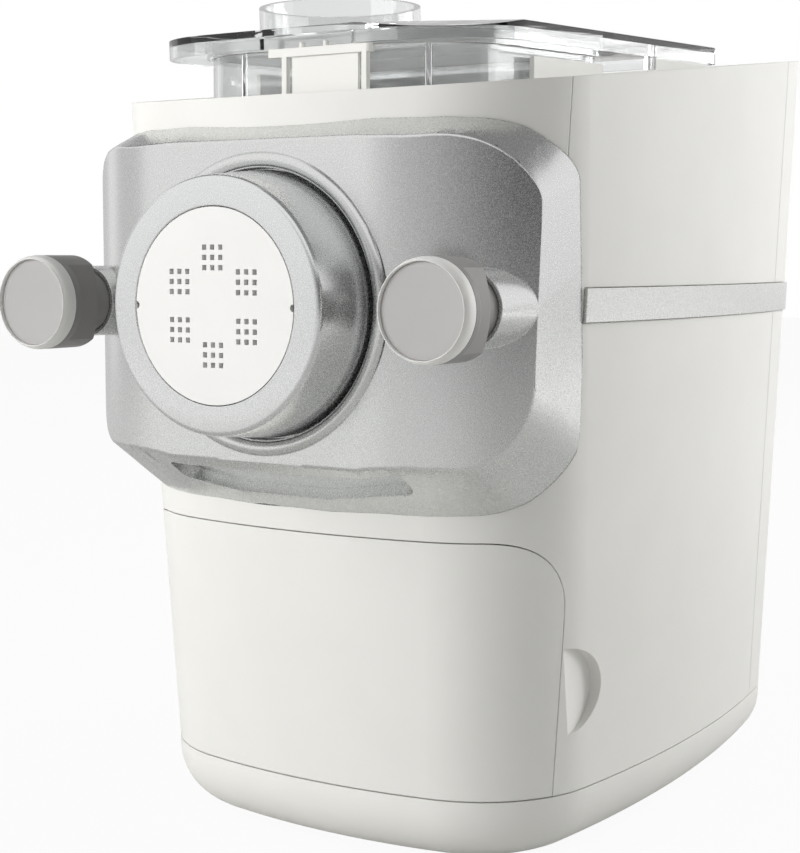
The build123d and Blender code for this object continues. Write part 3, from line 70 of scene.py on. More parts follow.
def rgba(colour):
    """Colour with full alpha."""
    return (*colour, 1.0)


def add_node(tree, kind, links=(), inputs=(), stops=(), **settings):
    """Adds a shader node with its settings, input values, links to sockets and (position, colour) stops."""
    node = tree.nodes.new(kind)
    for name, value in settings.items():
        setattr(node, name, value)
    for name, value in dict(inputs).items():
        node.inputs[name].default_value = value
    for name, socket in dict(links).items():
        tree.links.new(socket, node.inputs[name])
    if stops:
        elements = node.color_ramp.elements
        while len(elements) < len(stops):
            elements.new(0.5)
        for element, (position, colour) in zip(elements, stops):
            element.position = position
            element.color = rgba(colour)
    return node


def add_object(name, data):
    """New object in the scene for a mesh, a lamp or a camera."""
    item = bpy.data.objects.new(name, data)
    bpy.context.scene.collection.objects.link(item)
    return item


# ------------------------------------------------------------------ materials
finishes = {}   # materials by name


def new_material(name):
    """Keeps a new material under its name; gives its empty node tree and its object coordinates."""
    material = bpy.data.materials.new(name)
    finishes[name] = material
    material.use_nodes = True
    tree = material.node_tree
    tree.nodes.clear()
    return tree, add_node(tree, "ShaderNodeTexCoord").outputs["Object"]


def show(tree, shader):
    """Makes a shader the surface of its material."""
    add_node(tree, "ShaderNodeOutputMaterial", links={"Surface": shader.outputs[0]})


def show_surface(tree, constants, tint, stops, grain, roughness, edge, relief):
    """Shows an opaque surface whose tint pattern varies its colour, and its grain the rest.

    Stops are (position, colour) pairs and roughness is its lowest and highest value. Sharp edges are
    rounded to the edge radius, and the grain stands out by the relief, both in metres.
    """
    colour = add_node(tree, "ShaderNodeValToRGB", links={"Fac": tint}, stops=stops)
    # noise mostly stays between 0.3 and 0.7
    polish = add_node(
        tree, "ShaderNodeMapRange", links={"Value": grain},
        inputs={"From Min": 0.3, "From Max": 0.7, "To Min": roughness[0], "To Max": roughness[1]},
    )
    rounded = add_node(tree, "ShaderNodeBevel", inputs={"Radius": edge}, samples=6)
    grained = add_node(
        tree, "ShaderNodeBump", links={"Height": grain, "Normal": rounded.outputs["Normal"]},
        inputs={"Strength": 1.0, "Distance": relief},
    )
    show(tree, add_node(
        tree, "ShaderNodeBsdfPrincipled", inputs=constants,
        links={"Base Color": colour.outputs["Color"], "Roughness": polish.outputs["Result"],
               "Normal": grained.outputs["Normal"]},
    ))


def moulded_plastic(name, colour, roughness, edge, grain, relief, spread=0.02):
    """Injection-moulded plastic: an even colour that drifts faintly, and a fine spark-eroded skin.

    The skin's real grain is about 0.1 mm and is drawn coarser, so that it shows.
    """
    tree, coordinates = new_material(name)
    drift = add_node(
        tree, "ShaderNodeTexNoise", links={"Vector": coordinates},
        inputs={"Scale": 1 / (40 * MM), "Detail": 2.0, "Roughness": 0.6},
    ).outputs["Fac"]
    skin = add_node(
        tree, "ShaderNodeTexNoise", links={"Vector": coordinates},
        inputs={"Scale": 1 / grain, "Detail": 3.0, "Roughness": 0.6},
    ).outputs["Fac"]
    dark = tuple(c * (1 - spread) for c in colour)
    show_surface(
        tree, {"IOR": 1.49, "Metallic": 0.0}, drift, [(0.35, dark), (0.65, colour)],
        skin, (roughness * 0.93, roughness * 1.07), edge, relief,
    )


def silver_lacquer(name, colour, roughness, edge, flake, sparkle):
    """Metallic lacquer over plastic: aluminium flakes that glitter a little in a smooth film.

    Real flakes are under 0.1 mm and are drawn coarser, so that they show.
    """
    tree, coordinates = new_material(name)
    flakes = add_node(
        tree, "ShaderNodeTexVoronoi", links={"Vector": coordinates}, inputs={"Scale": 1 / flake}
    ).outputs["Color"]
    grey = add_node(tree, "ShaderNodeRGBToBW", links={"Color": flakes}).outputs["Val"]
    low = tuple(c * (1 - sparkle) for c in colour)
    high = tuple(min(1.0, c * (1 + sparkle)) for c in colour)
    show_surface(
        tree, {"Metallic": 0.95}, grey, [(0.2, low), (0.8, high)],
        grey, (roughness * 0.9, roughness * 1.12), edge, 0.002 * MM,
    )


def clear_plastic(name, colour, roughness):
    """Clear moulded copolymer: glass-like, with a trace of grey and faint flow marks."""
    tree, coordinates = new_material(name)
    flow = add_node(
        tree, "ShaderNodeTexNoise", links={"Vector": coordinates},
        inputs={"Scale": 1 / (30 * MM), "Detail": 1.0, "Roughness": 0.6},
    ).outputs["Fac"]
    relief = add_node(
        tree, "ShaderNodeBump", links={"Height": flow}, inputs={"Strength": 0.3, "Distance": 0.3 * MM}
    ).outputs["Normal"]
    shader = add_node(
        tree, "ShaderNodeBsdfPrincipled", links={"Normal": relief},
        inputs={"IOR": 1.49, "Metallic": 0.0, "Transmission Weight": 1.0, "Roughness": roughness,
                "Base Color": rgba(colour)},
    )
    # light on its way from a lamp passes straight through, so what is inside and behind stays lit
    path = add_node(tree, "ShaderNodeLightPath")
    through = add_node(tree, "ShaderNodeBsdfTransparent", inputs={"Color": rgba(colour)})
    show(tree, add_node(
        tree, "ShaderNodeMixShader",
        links={0: path.outputs["Is Shadow Ray"], 1: shader.outputs[0], 2: through.outputs[0]},
    ))


def bare_metal(name, colour, roughness, edge, streak):
    """Turned or drawn metal with fine tool marks, drawn coarser than the real 0.1 mm so that they show."""
    tree, coordinates = new_material(name)
    marks = add_node(
        tree, "ShaderNodeTexNoise", links={"Vector": coordinates},
        inputs={"Scale": 1 / streak, "Detail": 4.0, "Roughness": 0.6},
    ).outputs["Fac"]
    dark = tuple(c * 0.85 for c in colour)
    show_surface(
        tree, {"Metallic": 1.0}, marks, [(0.3, dark), (0.7, colour)],
        marks, (roughness * 0.85, roughness * 1.15), edge, 0.01 * MM,
    )


def soft_rubber(name, colour, roughness, grain):
    """Moulded rubber: dull, with a fine powdery skin."""
    tree, coordinates = new_material(name)
    skin = add_node(
        tree, "ShaderNodeTexNoise", links={"Vector": coordinates},
        inputs={"Scale": 1 / grain, "Detail": 4.0, "Roughness": 0.6},
    ).outputs["Fac"]
    light = tuple(min(1.0, c * 1.25) for c in colour)
    show_surface(
        tree, {"IOR": 1.52, "Specular IOR Level": 0.35}, skin, [(0.3, colour), (0.75, light)],
        skin, (roughness * 0.9, roughness * 1.1), 0.4 * MM, 0.03 * MM,
    )


# ------------------------------------------------------------------ mesh helpers
def paint(piece, material):
    """Gives a piece one material."""
    piece.data.materials.clear()
    piece.data.materials.append(finishes[material])


SLIGHT_TILT = math.cos(math.radians(8))   # faces turned less than this belong to one skin
WIDER = 4                                 # a face this many times broader than its neighbour stays flat


def corner_normals(mesh_builder, sharp, skin):
    """One normal for each face corner: curved skins blend, and a wide flat face stays flat to its rim.

    A skin, where there is one, gives the exact normal at a place on it.
    """
    limit = math.cos(math.radians(sharp))
    breadth = {face: face.calc_area() / max(face.calc_perimeter(), 1e-9) for face in mesh_builder.faces}
    normals = []
    for face in mesh_builder.faces:
        for corner in face.loops:
            known = skin(corner.vert.co) if skin else None
            if known is not None and known.dot(face.normal) > SLIGHT_TILT:
                normals.append(known)
                continue
            near = [other for other in corner.vert.link_loops if other.face.normal.dot(face.normal) > limit]
            near.sort(key=lambda other: breadth[other.face], reverse=True)
            widest = near[0].face
            tilted = [other for other in near if other.face.normal.dot(widest.normal) < SLIGHT_TILT]
            if tilted and breadth[widest] > WIDER * breadth[tilted[0].face]:
                normals.append(widest.normal.copy())
                continue
            blend = Vector()
            for other in near:
                blend += other.face.normal * other.calc_angle()
            normals.append(blend.normalized() if blend.length > 1e-9 else face.normal.copy())
    return normals


def settle_order(mesh_builder):
    """Orders corners and faces by place, because a full spin leaves them in another order each run."""
    corners = sorted(mesh_builder.verts, key=lambda corner: corner.co.to_tuple())
    faces = sorted(mesh_builder.faces, key=lambda face: face.calc_center_median().to_tuple())
    mesh_builder.verts.sort(key={corner: rank for rank, corner in enumerate(corners)}.get)
    mesh_builder.faces.sort(key={face: rank for rank, face in enumerate(faces)}.get)


def put(mesh_builder, name, body, material, node, sharp, skin=None):
    """Turns a finished bmesh into a piece that rides on a body and stands for a CAD node.

    Edges sharper than the given angle in degrees stay sharp.
    """
    bmesh.ops.remove_doubles(mesh_builder, verts=mesh_builder.verts, dist=JOIN)
    settle_order(mesh_builder)
    bmesh.ops.recalc_face_normals(mesh_builder, faces=mesh_builder.faces)
    mesh_builder.normal_update()
    normals = corner_normals(mesh_builder, sharp, skin)
    mesh = bpy.data.meshes.new(name)
    mesh_builder.to_mesh(mesh)
    mesh_builder.free()
    mesh.shade_smooth()
    mesh.normals_split_custom_set(normals)
    piece = add_object(name, mesh)
    paint(piece, material)
    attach(piece, body)
    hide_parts(node)


def merged_copy(node):
    """Copy of a CAD node's mesh with its loose triangles joined."""
    mesh_builder = bmesh.new()
    mesh_builder.from_mesh(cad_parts[node].data)
    bmesh.ops.remove_doubles(mesh_builder, verts=mesh_builder.verts, dist=JOIN)
    return mesh_builder


def between(value, low, high):
    """Share of the way from low to high, with a soft start and end."""
    share = min(max((value - low) / (high - low), 0.0), 1.0)
    return share * share * (3 - 2 * share)


# How far the panel's rims are drawn in, as (distance from the middle, draw) pairs in millimetres: at the
# edge of its face, and at its rear edge on the casing.
UPPER_FACE_DRAW = ((44, 0), (55, 0.8), (75, 3.4), (84, 4.4), (92, 5.6), (98, 7), (104, 9))
UPPER_REAR_DRAW = ((42, 0), (59, 1.9), (67.5, 3), (76, 4.8), (93, 4.9), (100, 6.5))
LOWER_FACE_DRAW = ((44, 0), (55, 2.2), (65, 4.2), (75, 3.8), (86, 1.2), (94, 0))
LOWER_REAR_DRAW = (
    (16, 0), (30, 1.6), (42, 3.4), (52, 4.6), (62, 4.6), (70, 4), (80, 2.2), (90, 1), (104, 3),
)

# the panel's face, in millimetres: flat in the middle and bent back to both sides
FRONT_REACH = 163.0      # distance of the front plane, from which setbacks count, from the origin
FACE_SETBACK = 28.0      # of the flat middle
FACE_FLAT = 44.0         # half width of the flat middle
FACE_BEND = 74.2         # radius of the bent sides
BEND_END = 0.95 * FACE_BEND   # past this the arc would turn edge-on
FACE_SKIN = 0.5          # points this near to the face lie on it
DISC_HEIGHT = 222.0      # height of the disc's axis over the table
COLLAR_REACH = 60.0      # radius that keeps clear of the collar round the ring
BOSS_REACH = 24.0        # height that keeps clear of the knobs' bosses
SLOPE_DEPTH = 20.0       # setback over which the draw passes from the face's edge to the rear edge
UPPER_DRAW_SPAN = (246.0, 282.0)   # heights over which the draw sets in
LOWER_DRAW_SPAN = (205.0, 168.0)
FACE_EDGE_ANGLE = 22     # degrees between the face and a slope, at the least
UPRIGHT = 0.05           # largest upward share of an upright face's normal
FIRST_CUT, CUT_STEP, CUTS = 20, 6, 15   # upright cuts on both sides, that let the rims bend

# angles in degrees over which an edge stays sharp, and faces round a full turn
PANEL_SHARP = 24
TURNED_SHARP = 40
RING_STEPS = 160
KNOB_STEPS = 96


def bent_face(place):
    """Setback of the panel's face at a place, and its outward normal there."""
    bend = min(max(abs(place.x) / MM - FACE_FLAT, 0.0), BEND_END)
    rise = math.sqrt(FACE_BEND ** 2 - bend ** 2)
    normal = Vector((math.copysign(bend, place.x), -rise, 0)).normalized()
    return FACE_SETBACK + FACE_BEND - rise, normal


def face_normal(place):
    """Outward normal of the panel's face at a place on it, or nothing elsewhere."""
    setback, normal = bent_face(place)
    return normal if abs(place.y / MM + FRONT_REACH - setback) < FACE_SKIN else None


def level_rims(mesh_builder):
    """Draws the panel's upper and lower rims level where they run out on its bent sides."""
    for corner in mesh_builder.verts:
        side = abs(corner.co.x) / MM
        height = corner.co.z / MM
        depth = between(corner.co.y / MM + FRONT_REACH - bent_face(corner.co)[0], 0.0, SLOPE_DEPTH)
        upper = numpy.interp(side, *zip(*UPPER_FACE_DRAW)) * (1 - depth)
        upper += numpy.interp(side, *zip(*UPPER_REAR_DRAW)) * depth
        lower = numpy.interp(side, *zip(*LOWER_FACE_DRAW)) * (1 - depth)
        lower += numpy.interp(side, *zip(*LOWER_REAR_DRAW)) * depth
        draw = lower * between(height, *LOWER_DRAW_SPAN) - upper * between(height, *UPPER_DRAW_SPAN)
        corner.co.z += draw * MM


def round_face_edge(mesh_builder, width):
    """Rounds the edge between the panel's face and the slopes round it."""
    mesh_builder.normal_update()
    rim = []
    for edge in mesh_builder.edges:
        if len(edge.link_faces) != 2 or edge.calc_face_angle(0.0) < math.radians(FACE_EDGE_ANGLE):
            continue
        upright = min(abs(face.normal.z) for face in edge.link_faces) < UPRIGHT
        place = (edge.verts[0].co + edge.verts[1].co) / 2
        lift = abs(place.z / MM - DISC_HEIGHT)
        clear = lift > BOSS_REACH and math.hypot(place.x / MM, lift) > COLLAR_REACH
        if clear and upright and face_normal(place) is not None:
            rim.append(edge)
    bmesh.ops.bevel(
        mesh_builder, geom=rim, offset=width, offset_type="OFFSET", segments=3, profile=0.5,
        affect="EDGES", material=-1, clamp_overlap=False,
    )


def turn(mesh_builder, profile, x, z, steps):
    """Spins a profile of (y, radius) points about the Y axis through (x, z)."""
    points = [mesh_builder.verts.new((x, y, z + radius)) for y, radius in profile]
    edges = [mesh_builder.edges.new(pair) for pair in zip(points, points[1:])]
    bmesh.ops.spin(
        mesh_builder, geom=points + edges, cent=(x, 0, z), axis=(0, 1, 0), dvec=(0, 0, 0),
        angle=2 * math.pi, steps=steps, use_merge=True, use_duplicate=False,
    )


def middle(node):
    """Centre of a CAD node's box."""
    low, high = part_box(node)
    return (low + high) / 2


# ------------------------------------------------------------------ settings
class ColourSettings(PropertyGroup):
    """Colours of the large pieces"""
    casing: FloatVectorProperty(
        name="Casing", description="White of the casing, the drawer front and the latch",
        default=linear("EFEEEA"), subtype="COLOR")
    panel: FloatVectorProperty(
        name="Panel", description="Silver of the front panel", default=linear("DADBDA"), subtype="COLOR")
    ring: FloatVectorProperty(
        name="Ring", description="Silver of the disc ring", default=linear("DFE0E0"), subtype="COLOR")
    # the grips' grey holds painted shade: it is darker than the caps', which are the same plastic
    grip_with_painted_shade: FloatVectorProperty(
        name="Grip", description="Grey of the knobs' grips", default=linear("939190"), subtype="COLOR")
    cap: FloatVectorProperty(
        name="Cap", description="Grey of the knobs' caps", default=linear("B4B2B1"), subtype="COLOR")


class PanelSettings(PropertyGroup):
    """Sizes of the front panel"""
    edge_round: FloatProperty(
        name="Edge rounding", description="Width of the rounding between the panel's face and its slopes",
        default=0.9 * MM, unit="LENGTH")


class RingSettings(PropertyGroup):
    """Sizes of the disc ring"""
    face_radius: FloatProperty(
        name="Face radius", description="Outer radius of the ring's flat front face",
        default=45.6 * MM, unit="LENGTH")
    mouth_radius: FloatProperty(
        name="Mouth radius", description="Radius of the opening round the shaping disc",
        default=36.3 * MM, unit="LENGTH")
    bore_radius: FloatProperty(
        name="Bore radius", description="Inner radius behind the lip",
        default=41.5 * MM, unit="LENGTH")
    lip: FloatProperty(
        name="Lip", description="Thickness of the lip that holds the disc", default=4 * MM, unit="LENGTH")


class KnobSettings(PropertyGroup):
    """Sizes of the fixing knobs"""
    cap_dish: FloatProperty(
        name="Cap dish", description="Depth of the shallow hollow in a knob's cap",
        default=0.35 * MM, unit="LENGTH")


class StageSettings(PropertyGroup):
    """Lamps and mirrored screens"""
    front_power: FloatProperty(
        name="Front light", description="Power of the softbox at the left of the front", default=36,
        unit="POWER")
    rear_power: FloatProperty(
        name="Rear light", description="Power of the softbox at the right, towards the back", default=37,
        unit="POWER")
    sky: FloatProperty(name="Sky", description="Strength of the even surrounding light", default=0.33)
    front_tone: FloatProperty(
        name="Front screen", description="Darkest grey of the screen that silver mirrors at the right",
        default=0.08, min=0.0, max=1.0, subtype="FACTOR")
    left_tone: FloatProperty(
        name="Left screen", description="Grey of the screen that silver mirrors at the left",
        default=0.65, min=0.0, max=1.0, subtype="FACTOR")
    roof_tone: FloatProperty(
        name="Right roof", description="Grey of the screen that silver mirrors from above right",
        default=0.25, min=0.0, max=1.0, subtype="FACTOR")
    left_roof_tone: FloatProperty(
        name="Left roof", description="Grey of the screen that silver mirrors from above left",
        default=0.2, min=0.0, max=1.0, subtype="FACTOR")
    # painted highlight: a spot of the floor made brighter in reflections only
    painted_highlight_spot: FloatVectorProperty(
        name="Bright patch", description="Place on the floor that silver mirrors brightest",
        default=(0.45, -1.7, 0.0), unit="LENGTH")


# ------------------------------------------------------------------ operators
class DRESS_OT_finishes(Operator):
    """Finishes that the other steps give to their pieces"""
    bl_idname = "dress.finishes"
    bl_label = "Finishes"

    def execute(self, context):
        colours = context.scene.pasta_colours
        # housing: satin white ABS, warm and even, so that its big faces shade softly
        moulded_plastic("abs_housing", colours.casing, 0.38, 0.5 * MM, 0.9 * MM, 0.01 * MM)
        # inner mouldings: the same plastic, untextured and a little duller
        moulded_plastic("abs_inner", linear("E6E6E2"), 0.5, 0.3 * MM, 1.2 * MM, 0.02 * MM)
        # front panel: silver metallic lacquer with a visible flake
        silver_lacquer("flake_lacquer", colours.panel, 0.25, 0.6 * MM, 0.4 * MM, 0.035)
        # disc ring: finer, brighter lacquer, almost satin chrome
        silver_lacquer("satin_silver", colours.ring, 0.25, 0.5 * MM, 0.35 * MM, 0.02)
        # side band: pearl lacquer, nearly white
        silver_lacquer("pearl_band", linear("E6E6E4"), 0.3, 0.3 * MM, 0.3 * MM, 0.012)
        # knobs: warm grey polycarbonate, the caps finer than the grips; the grips are darker than the caps
        # by painted shade, as both are one grey
        moulded_plastic("grey_grip_with_painted_shade", colours.grip_with_painted_shade, 0.42, 0.5 * MM, 0.7 * MM, 0.015 * MM)
        moulded_plastic("grey_cap", colours.cap, 0.45, 0.2 * MM, 0.5 * MM, 0.01 * MM)
        # trims of the knobs: polished white polycarbonate, a thin bright ring
        moulded_plastic("white_trim", linear("F0EFEC"), 0.3, 0.2 * MM, 0.9 * MM, 0.005 * MM)
        # shaping discs: white acetal, waxy and matt
        moulded_plastic("acetal_disc", linear("F0EFED"), 0.5, 0.25 * MM, 0.8 * MM, 0.015 * MM)
        # gears: natural acetal, a warmer cream
        moulded_plastic("acetal_gear", linear("DCD6C4"), 0.45, 0.15 * MM, 0.8 * MM, 0.01 * MM)
        # controls: dark grey keys in a darker field, with a black window
        moulded_plastic("grey_key", linear("55565A"), 0.5, 0.3 * MM, 0.5 * MM, 0.02 * MM)
        moulded_plastic("dark_field", linear("3A3B3E"), 0.35, 0.3 * MM, 0.7 * MM, 0.01 * MM)
        moulded_plastic("black_window", linear("0B0B0D"), 0.08, 0.2 * MM, 3 * MM, 0.001 * MM)
        # socket and switch: glass-filled nylon, black and dull
        moulded_plastic("black_nylon", linear("191919"), 0.55, 0.3 * MM, 0.5 * MM, 0.03 * MM)
        # boards: epoxy glass under solder mask, an uneven green
        moulded_plastic("circuit_board", linear("1C5A38"), 0.4, 0.1 * MM, 1 * MM, 0.01 * MM, 0.2)
        # lid and mixing chamber: clear copolyester
        clear_plastic("clear_lid", linear("E2E3E3"), 0.03)
        clear_plastic("clear_chamber", linear("E0E1E1"), 0.05)
        # shaft, studs and screws: turned stainless steel, bright; motor can: zinc-plated sheet, duller
        bare_metal("turned_steel", linear("B9BABC"), 0.28, 0.2 * MM, 0.4 * MM)
        bare_metal("plated_sheet", linear("9EA0A3"), 0.4, 0.3 * MM, 1.5 * MM)
        # feet: black rubber, dull; seals: pale silicone, softly shining
        soft_rubber("black_rubber", linear("2A2A2B"), 0.75, 0.3 * MM)
        soft_rubber("grey_silicone", linear("C9C9C8"), 0.55, 0.4 * MM)
        return {"FINISHED"}


class DRESS_OT_casing(Operator):
    """Satin white casing skins, base and drawer front, and the pearl band round them"""
    bl_idname = "dress.casing"
    bl_label = "Casing"

    def execute(self, context):
        for node in ("housing_shell", "front_strip", "rear_cover", "base_tray", "top_deck", "drawer_front"):
            paint(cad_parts[node], "abs_housing")
        paint(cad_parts["side_band"], "pearl_band")
        return {"FINISHED"}


class DRESS_OT_panel(Operator):
    """Silver front panel with level rims above and below"""
    bl_idname = "dress.panel"
    bl_label = "Front panel"

    def execute(self, context):
        mesh_builder = merged_copy("front_panel")
        # flat skins become single faces and slivers go, so that the cuts and the rounding run clean
        bmesh.ops.dissolve_limit(
            mesh_builder, angle_limit=math.radians(0.3), use_dissolve_boundaries=False,
            verts=mesh_builder.verts, edges=mesh_builder.edges, delimit=set(),
        )
        bmesh.ops.dissolve_degenerate(mesh_builder, dist=0.2 * MM, edges=mesh_builder.edges)
        for step in range(CUTS):
            reach = (FIRST_CUT + CUT_STEP * step) * MM
            for place in (-reach, reach):
                whole = list(mesh_builder.verts) + list(mesh_builder.edges) + list(mesh_builder.faces)
                bmesh.ops.bisect_plane(
                    mesh_builder, geom=whole, dist=1e-6, plane_co=(place, 0, 0), plane_no=(1, 0, 0)
                )
        level_rims(mesh_builder)
        round_face_edge(mesh_builder, context.scene.pasta_panel.edge_round)
        put(mesh_builder, "front.panel", "front", "flake_lacquer", "front_panel", PANEL_SHARP, face_normal)
        return {"FINISHED"}


class DRESS_OT_ring(Operator):
    """Ring that holds the shaping disc"""
    bl_idname = "dress.ring"
    bl_label = "Disc ring"

    def execute(self, context):
        settings = context.scene.pasta_ring
        low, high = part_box("disc_ring")
        front = low.y
        rear = high.y
        outer = (high.x - low.x) / 2
        axis = middle("disc_ring")
        # from the lip forward, over the flat face and its rounded rim, back along the side and in again,
        # each rounding drawn by a few points
        profile = [
            (front + settings.lip, settings.mouth_radius),
            (front + 0.5 * MM, settings.mouth_radius),
            (front + 0.12 * MM, settings.mouth_radius + 0.15 * MM),
            (front, settings.mouth_radius + 0.5 * MM),
            (front, settings.face_radius),
            (front + 0.12 * MM, settings.face_radius + 0.8 * MM),
            (front + 0.5 * MM, settings.face_radius + 1.4 * MM),
            (front + 1.2 * MM, settings.face_radius + 1.85 * MM),
            (front + 2.4 * MM, settings.face_radius + 2.1 * MM),
            ((front + rear) / 2, (settings.face_radius + 2.1 * MM + outer) / 2),
            (rear - 1.0 * MM, outer),
            (rear - 0.3 * MM, outer - 0.2 * MM),
            (rear, outer - 0.8 * MM),
            (rear, settings.bore_radius),
            (front + settings.lip, settings.bore_radius),
            (front + settings.lip, settings.mouth_radius),
        ]
        mesh_builder = bmesh.new()
        turn(mesh_builder, profile, axis.x, axis.z, RING_STEPS)
        put(mesh_builder, "disc.ring", "ring", "satin_silver", "disc_ring", TURNED_SHARP)
        return {"FINISHED"}


class DRESS_OT_knobs(Operator):
    """Fixing knobs: grip bodies, white trims and dished caps"""
    bl_idname = "dress.knobs"
    bl_label = "Fixing knobs"

    def execute(self, context):
        dish = context.scene.pasta_knobs.cap_dish
        cap_low, cap_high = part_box("knob_cap_right")
        trim_low, trim_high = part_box("knob_trim_right")
        radius = (cap_high.x - cap_low.x) / 2
        outer = (trim_high.x - trim_low.x) / 2
        front = trim_low.y
        rear = trim_high.y
        cap_front = cap_low.y
        for side in ("left", "right"):
            body = f"knob_{side}"
            # the grip's darker grey is painted shade on the knob's sides
            paint(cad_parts[f"knob_body_{side}"], "grey_grip_with_painted_shade")
            axis = middle(f"knob_cap_{side}")
            # from the hollow's middle over the rounded rim to the back
            cap = [
                (cap_front + dish, 0),
                (cap_front + dish * 0.8, radius * 0.5),
                (cap_front + dish * 0.25, radius * 0.85),
                (cap_front, radius - 0.5 * MM),
                (cap_front + 0.15 * MM, radius - 0.1 * MM),
                (cap_front + 0.4 * MM, radius),
                (cap_high.y, radius),
                (cap_high.y, 0),
            ]
            mesh_builder = bmesh.new()
            turn(mesh_builder, cap, axis.x, axis.z, KNOB_STEPS)
            put(mesh_builder, f"knob.cap.{side}", body, "grey_cap", f"knob_cap_{side}", TURNED_SHARP)
            # from the back along the cap, which it clears by 0.05 mm, to the front, over the rounded
            # brow and back along the side
            trim = [
                (rear, radius + 0.05 * MM),
                (front + 0.3 * MM, radius + 0.05 * MM),
                (front + 0.05 * MM, radius + 0.2 * MM),
                (front, radius + 0.45 * MM),
                (front + 0.2 * MM, outer - 1.35 * MM),
                (front + 0.9 * MM, outer - 0.7 * MM),
                (front + 2.2 * MM, outer - 0.2 * MM),
                (front + 3.8 * MM, outer),
                (rear - 0.2 * MM, outer),
                (rear, outer - 0.2 * MM),
                (rear, radius + 0.05 * MM),
            ]
            mesh_builder = bmesh.new()
            turn(mesh_builder, trim, axis.x, axis.z, KNOB_STEPS)
            put(
                mesh_builder, f"knob.trim.{side}", body, "white_trim", f"knob_trim_{side}", TURNED_SHARP
            )
        return {"FINISHED"}


class DRESS_OT_lid(Operator):
    """Clear lid and mixing chamber, and the latch"""
    bl_idname = "dress.lid"
    bl_label = "Lid and chamber"

    def execute(self, context):
        paint(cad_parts["lid"], "clear_lid")
        paint(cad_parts["mixing_chamber"], "clear_chamber")
        paint(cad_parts["lid_latch"], "abs_housing")
        return {"FINISHED"}


class DRESS_OT_rest(Operator):
    """Finishes for the pieces whose CAD form is shown as it is"""
    bl_idname = "dress.rest"
    bl_label = "Other pieces"

    def execute(self, context):
        nodes_by_finish = {
            "acetal_disc": ("shaping_disc", "ribbon_disc", "lasagne_disc"),
            "abs_inner": ("inner_frame", "drawer_tunnel", "chamber_saddles", "gearbox_cover",
                          "extruder_tube", "extruding_screw", "mixing_paddle", "drawer_box"),
            "acetal_gear": ("drive_gear", "idler_gear"),
            "turned_steel": ("drive_shaft", "idler_pin", "fixing_studs", "base_screws", "cover_screws",
                             "motor_rotor"),
            "plated_sheet": ("motor_can",),
            "black_rubber": ("rubber_feet",),
            "grey_silicone": ("lid_seal", "tube_seal", "shaft_seal"),
            "circuit_board": ("main_board", "control_board"),
            "black_nylon": ("mains_inlet", "lid_switch"),
            "dark_field": ("control_fascia",),
            "black_window": ("display_window",),
            "grey_key": ("power_button", "program_button", "portion_button", "start_button"),
        }
        for material, nodes in nodes_by_finish.items():
            for node in nodes:
                paint(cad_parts[node], material)
        return {"FINISHED"}


# ------------------------------------------------------------------ stage
WHITE = (1, 1, 1, 1)
OPEN_WHITE = 0.94        # share of plain white in the floor; the rest is lit and takes the shadow

# lengths in metres
AIM = (0, 0, 0.16)       # place in the machine that the lamps face
WALL_RADIUS = 3.2
WALL_HEIGHT = 1.5
WALL_STEPS = 20          # faces along a wall
ROOF_HEIGHT = 2.2
FLOOR_REACH = 6

# the camera: place in metres, angles in degrees, focal length in pixels of a frame 853 high
CAMERA_PLACE = (0.3824, -0.6444, 0.2400)
CAMERA_YAW = 32.09
CAMERA_PITCH = 5.75
CAMERA_ROLL = 0.16
CAMERA_FOCAL_PIXELS = 1682.2
FRAME_HEIGHT = 853


def softbox(name, position, width, height, power):
    """Rectangular lamp that faces the machine and isn't mirrored itself."""
    lamp = bpy.data.lights.new(name, "AREA")
    lamp.shape = "RECTANGLE"
    lamp.size = width
    lamp.size_y = height
    lamp.energy = power
    box = add_object(name, lamp)
    box.location = position
    box.visible_glossy = False
    box.rotation_mode = "QUATERNION"
    box.rotation_quaternion = (Vector(AIM) - Vector(position)).to_track_quat("-Z", "Y")


def white_for_views(tree, shader):
    """Mixes a sky with plain white for camera, glossy and transmission rays."""
    path = add_node(tree, "ShaderNodeLightPath")
    glossy = add_node(
        tree, "ShaderNodeMath", operation="MAXIMUM",
        links={0: path.outputs["Is Camera Ray"], 1: path.outputs["Is Glossy Ray"]},
    )
    seen = add_node(
        tree, "ShaderNodeMath", operation="MAXIMUM",
        links={0: glossy.outputs[0], 1: path.outputs["Is Transmission Ray"]},
    )
    white = add_node(tree, "ShaderNodeBackground", inputs={"Color": WHITE, "Strength": 1.0})
    mixed = add_node(
        tree, "ShaderNodeMixShader",
        links={0: seen.outputs[0], 1: shader, 2: white.outputs[0]},
    )
    return mixed.outputs[0]


def mirrored_screen(name, builder, tones):
    """Screen that silver surfaces mirror and that lights nothing; tones are (heading, grey) pairs."""
    mesh = bpy.data.meshes.new(name)
    builder.to_mesh(mesh)
    builder.free()
    screen = add_object(name, mesh)
    screen.visible_camera = False
    screen.visible_diffuse = False
    screen.visible_transmission = False
    tree, coordinates = new_material(name + ".paper")
    heading = add_node(
        tree, "ShaderNodeTexGradient", links={"Vector": coordinates}, gradient_type="RADIAL"
    ).outputs["Fac"]
    # the gradient reads 0.25 straight ahead, and grows by 1 over a full turn
    stops = [((degrees / 360 + 0.25) % 1, (grey,) * 3) for degrees, grey in tones]
    greys = add_node(tree, "ShaderNodeValToRGB", links={"Fac": heading}, stops=stops).outputs["Color"]
    show(tree, add_node(tree, "ShaderNodeEmission", links={"Color": greys}))
    paint(screen, name + ".paper")
    return screen


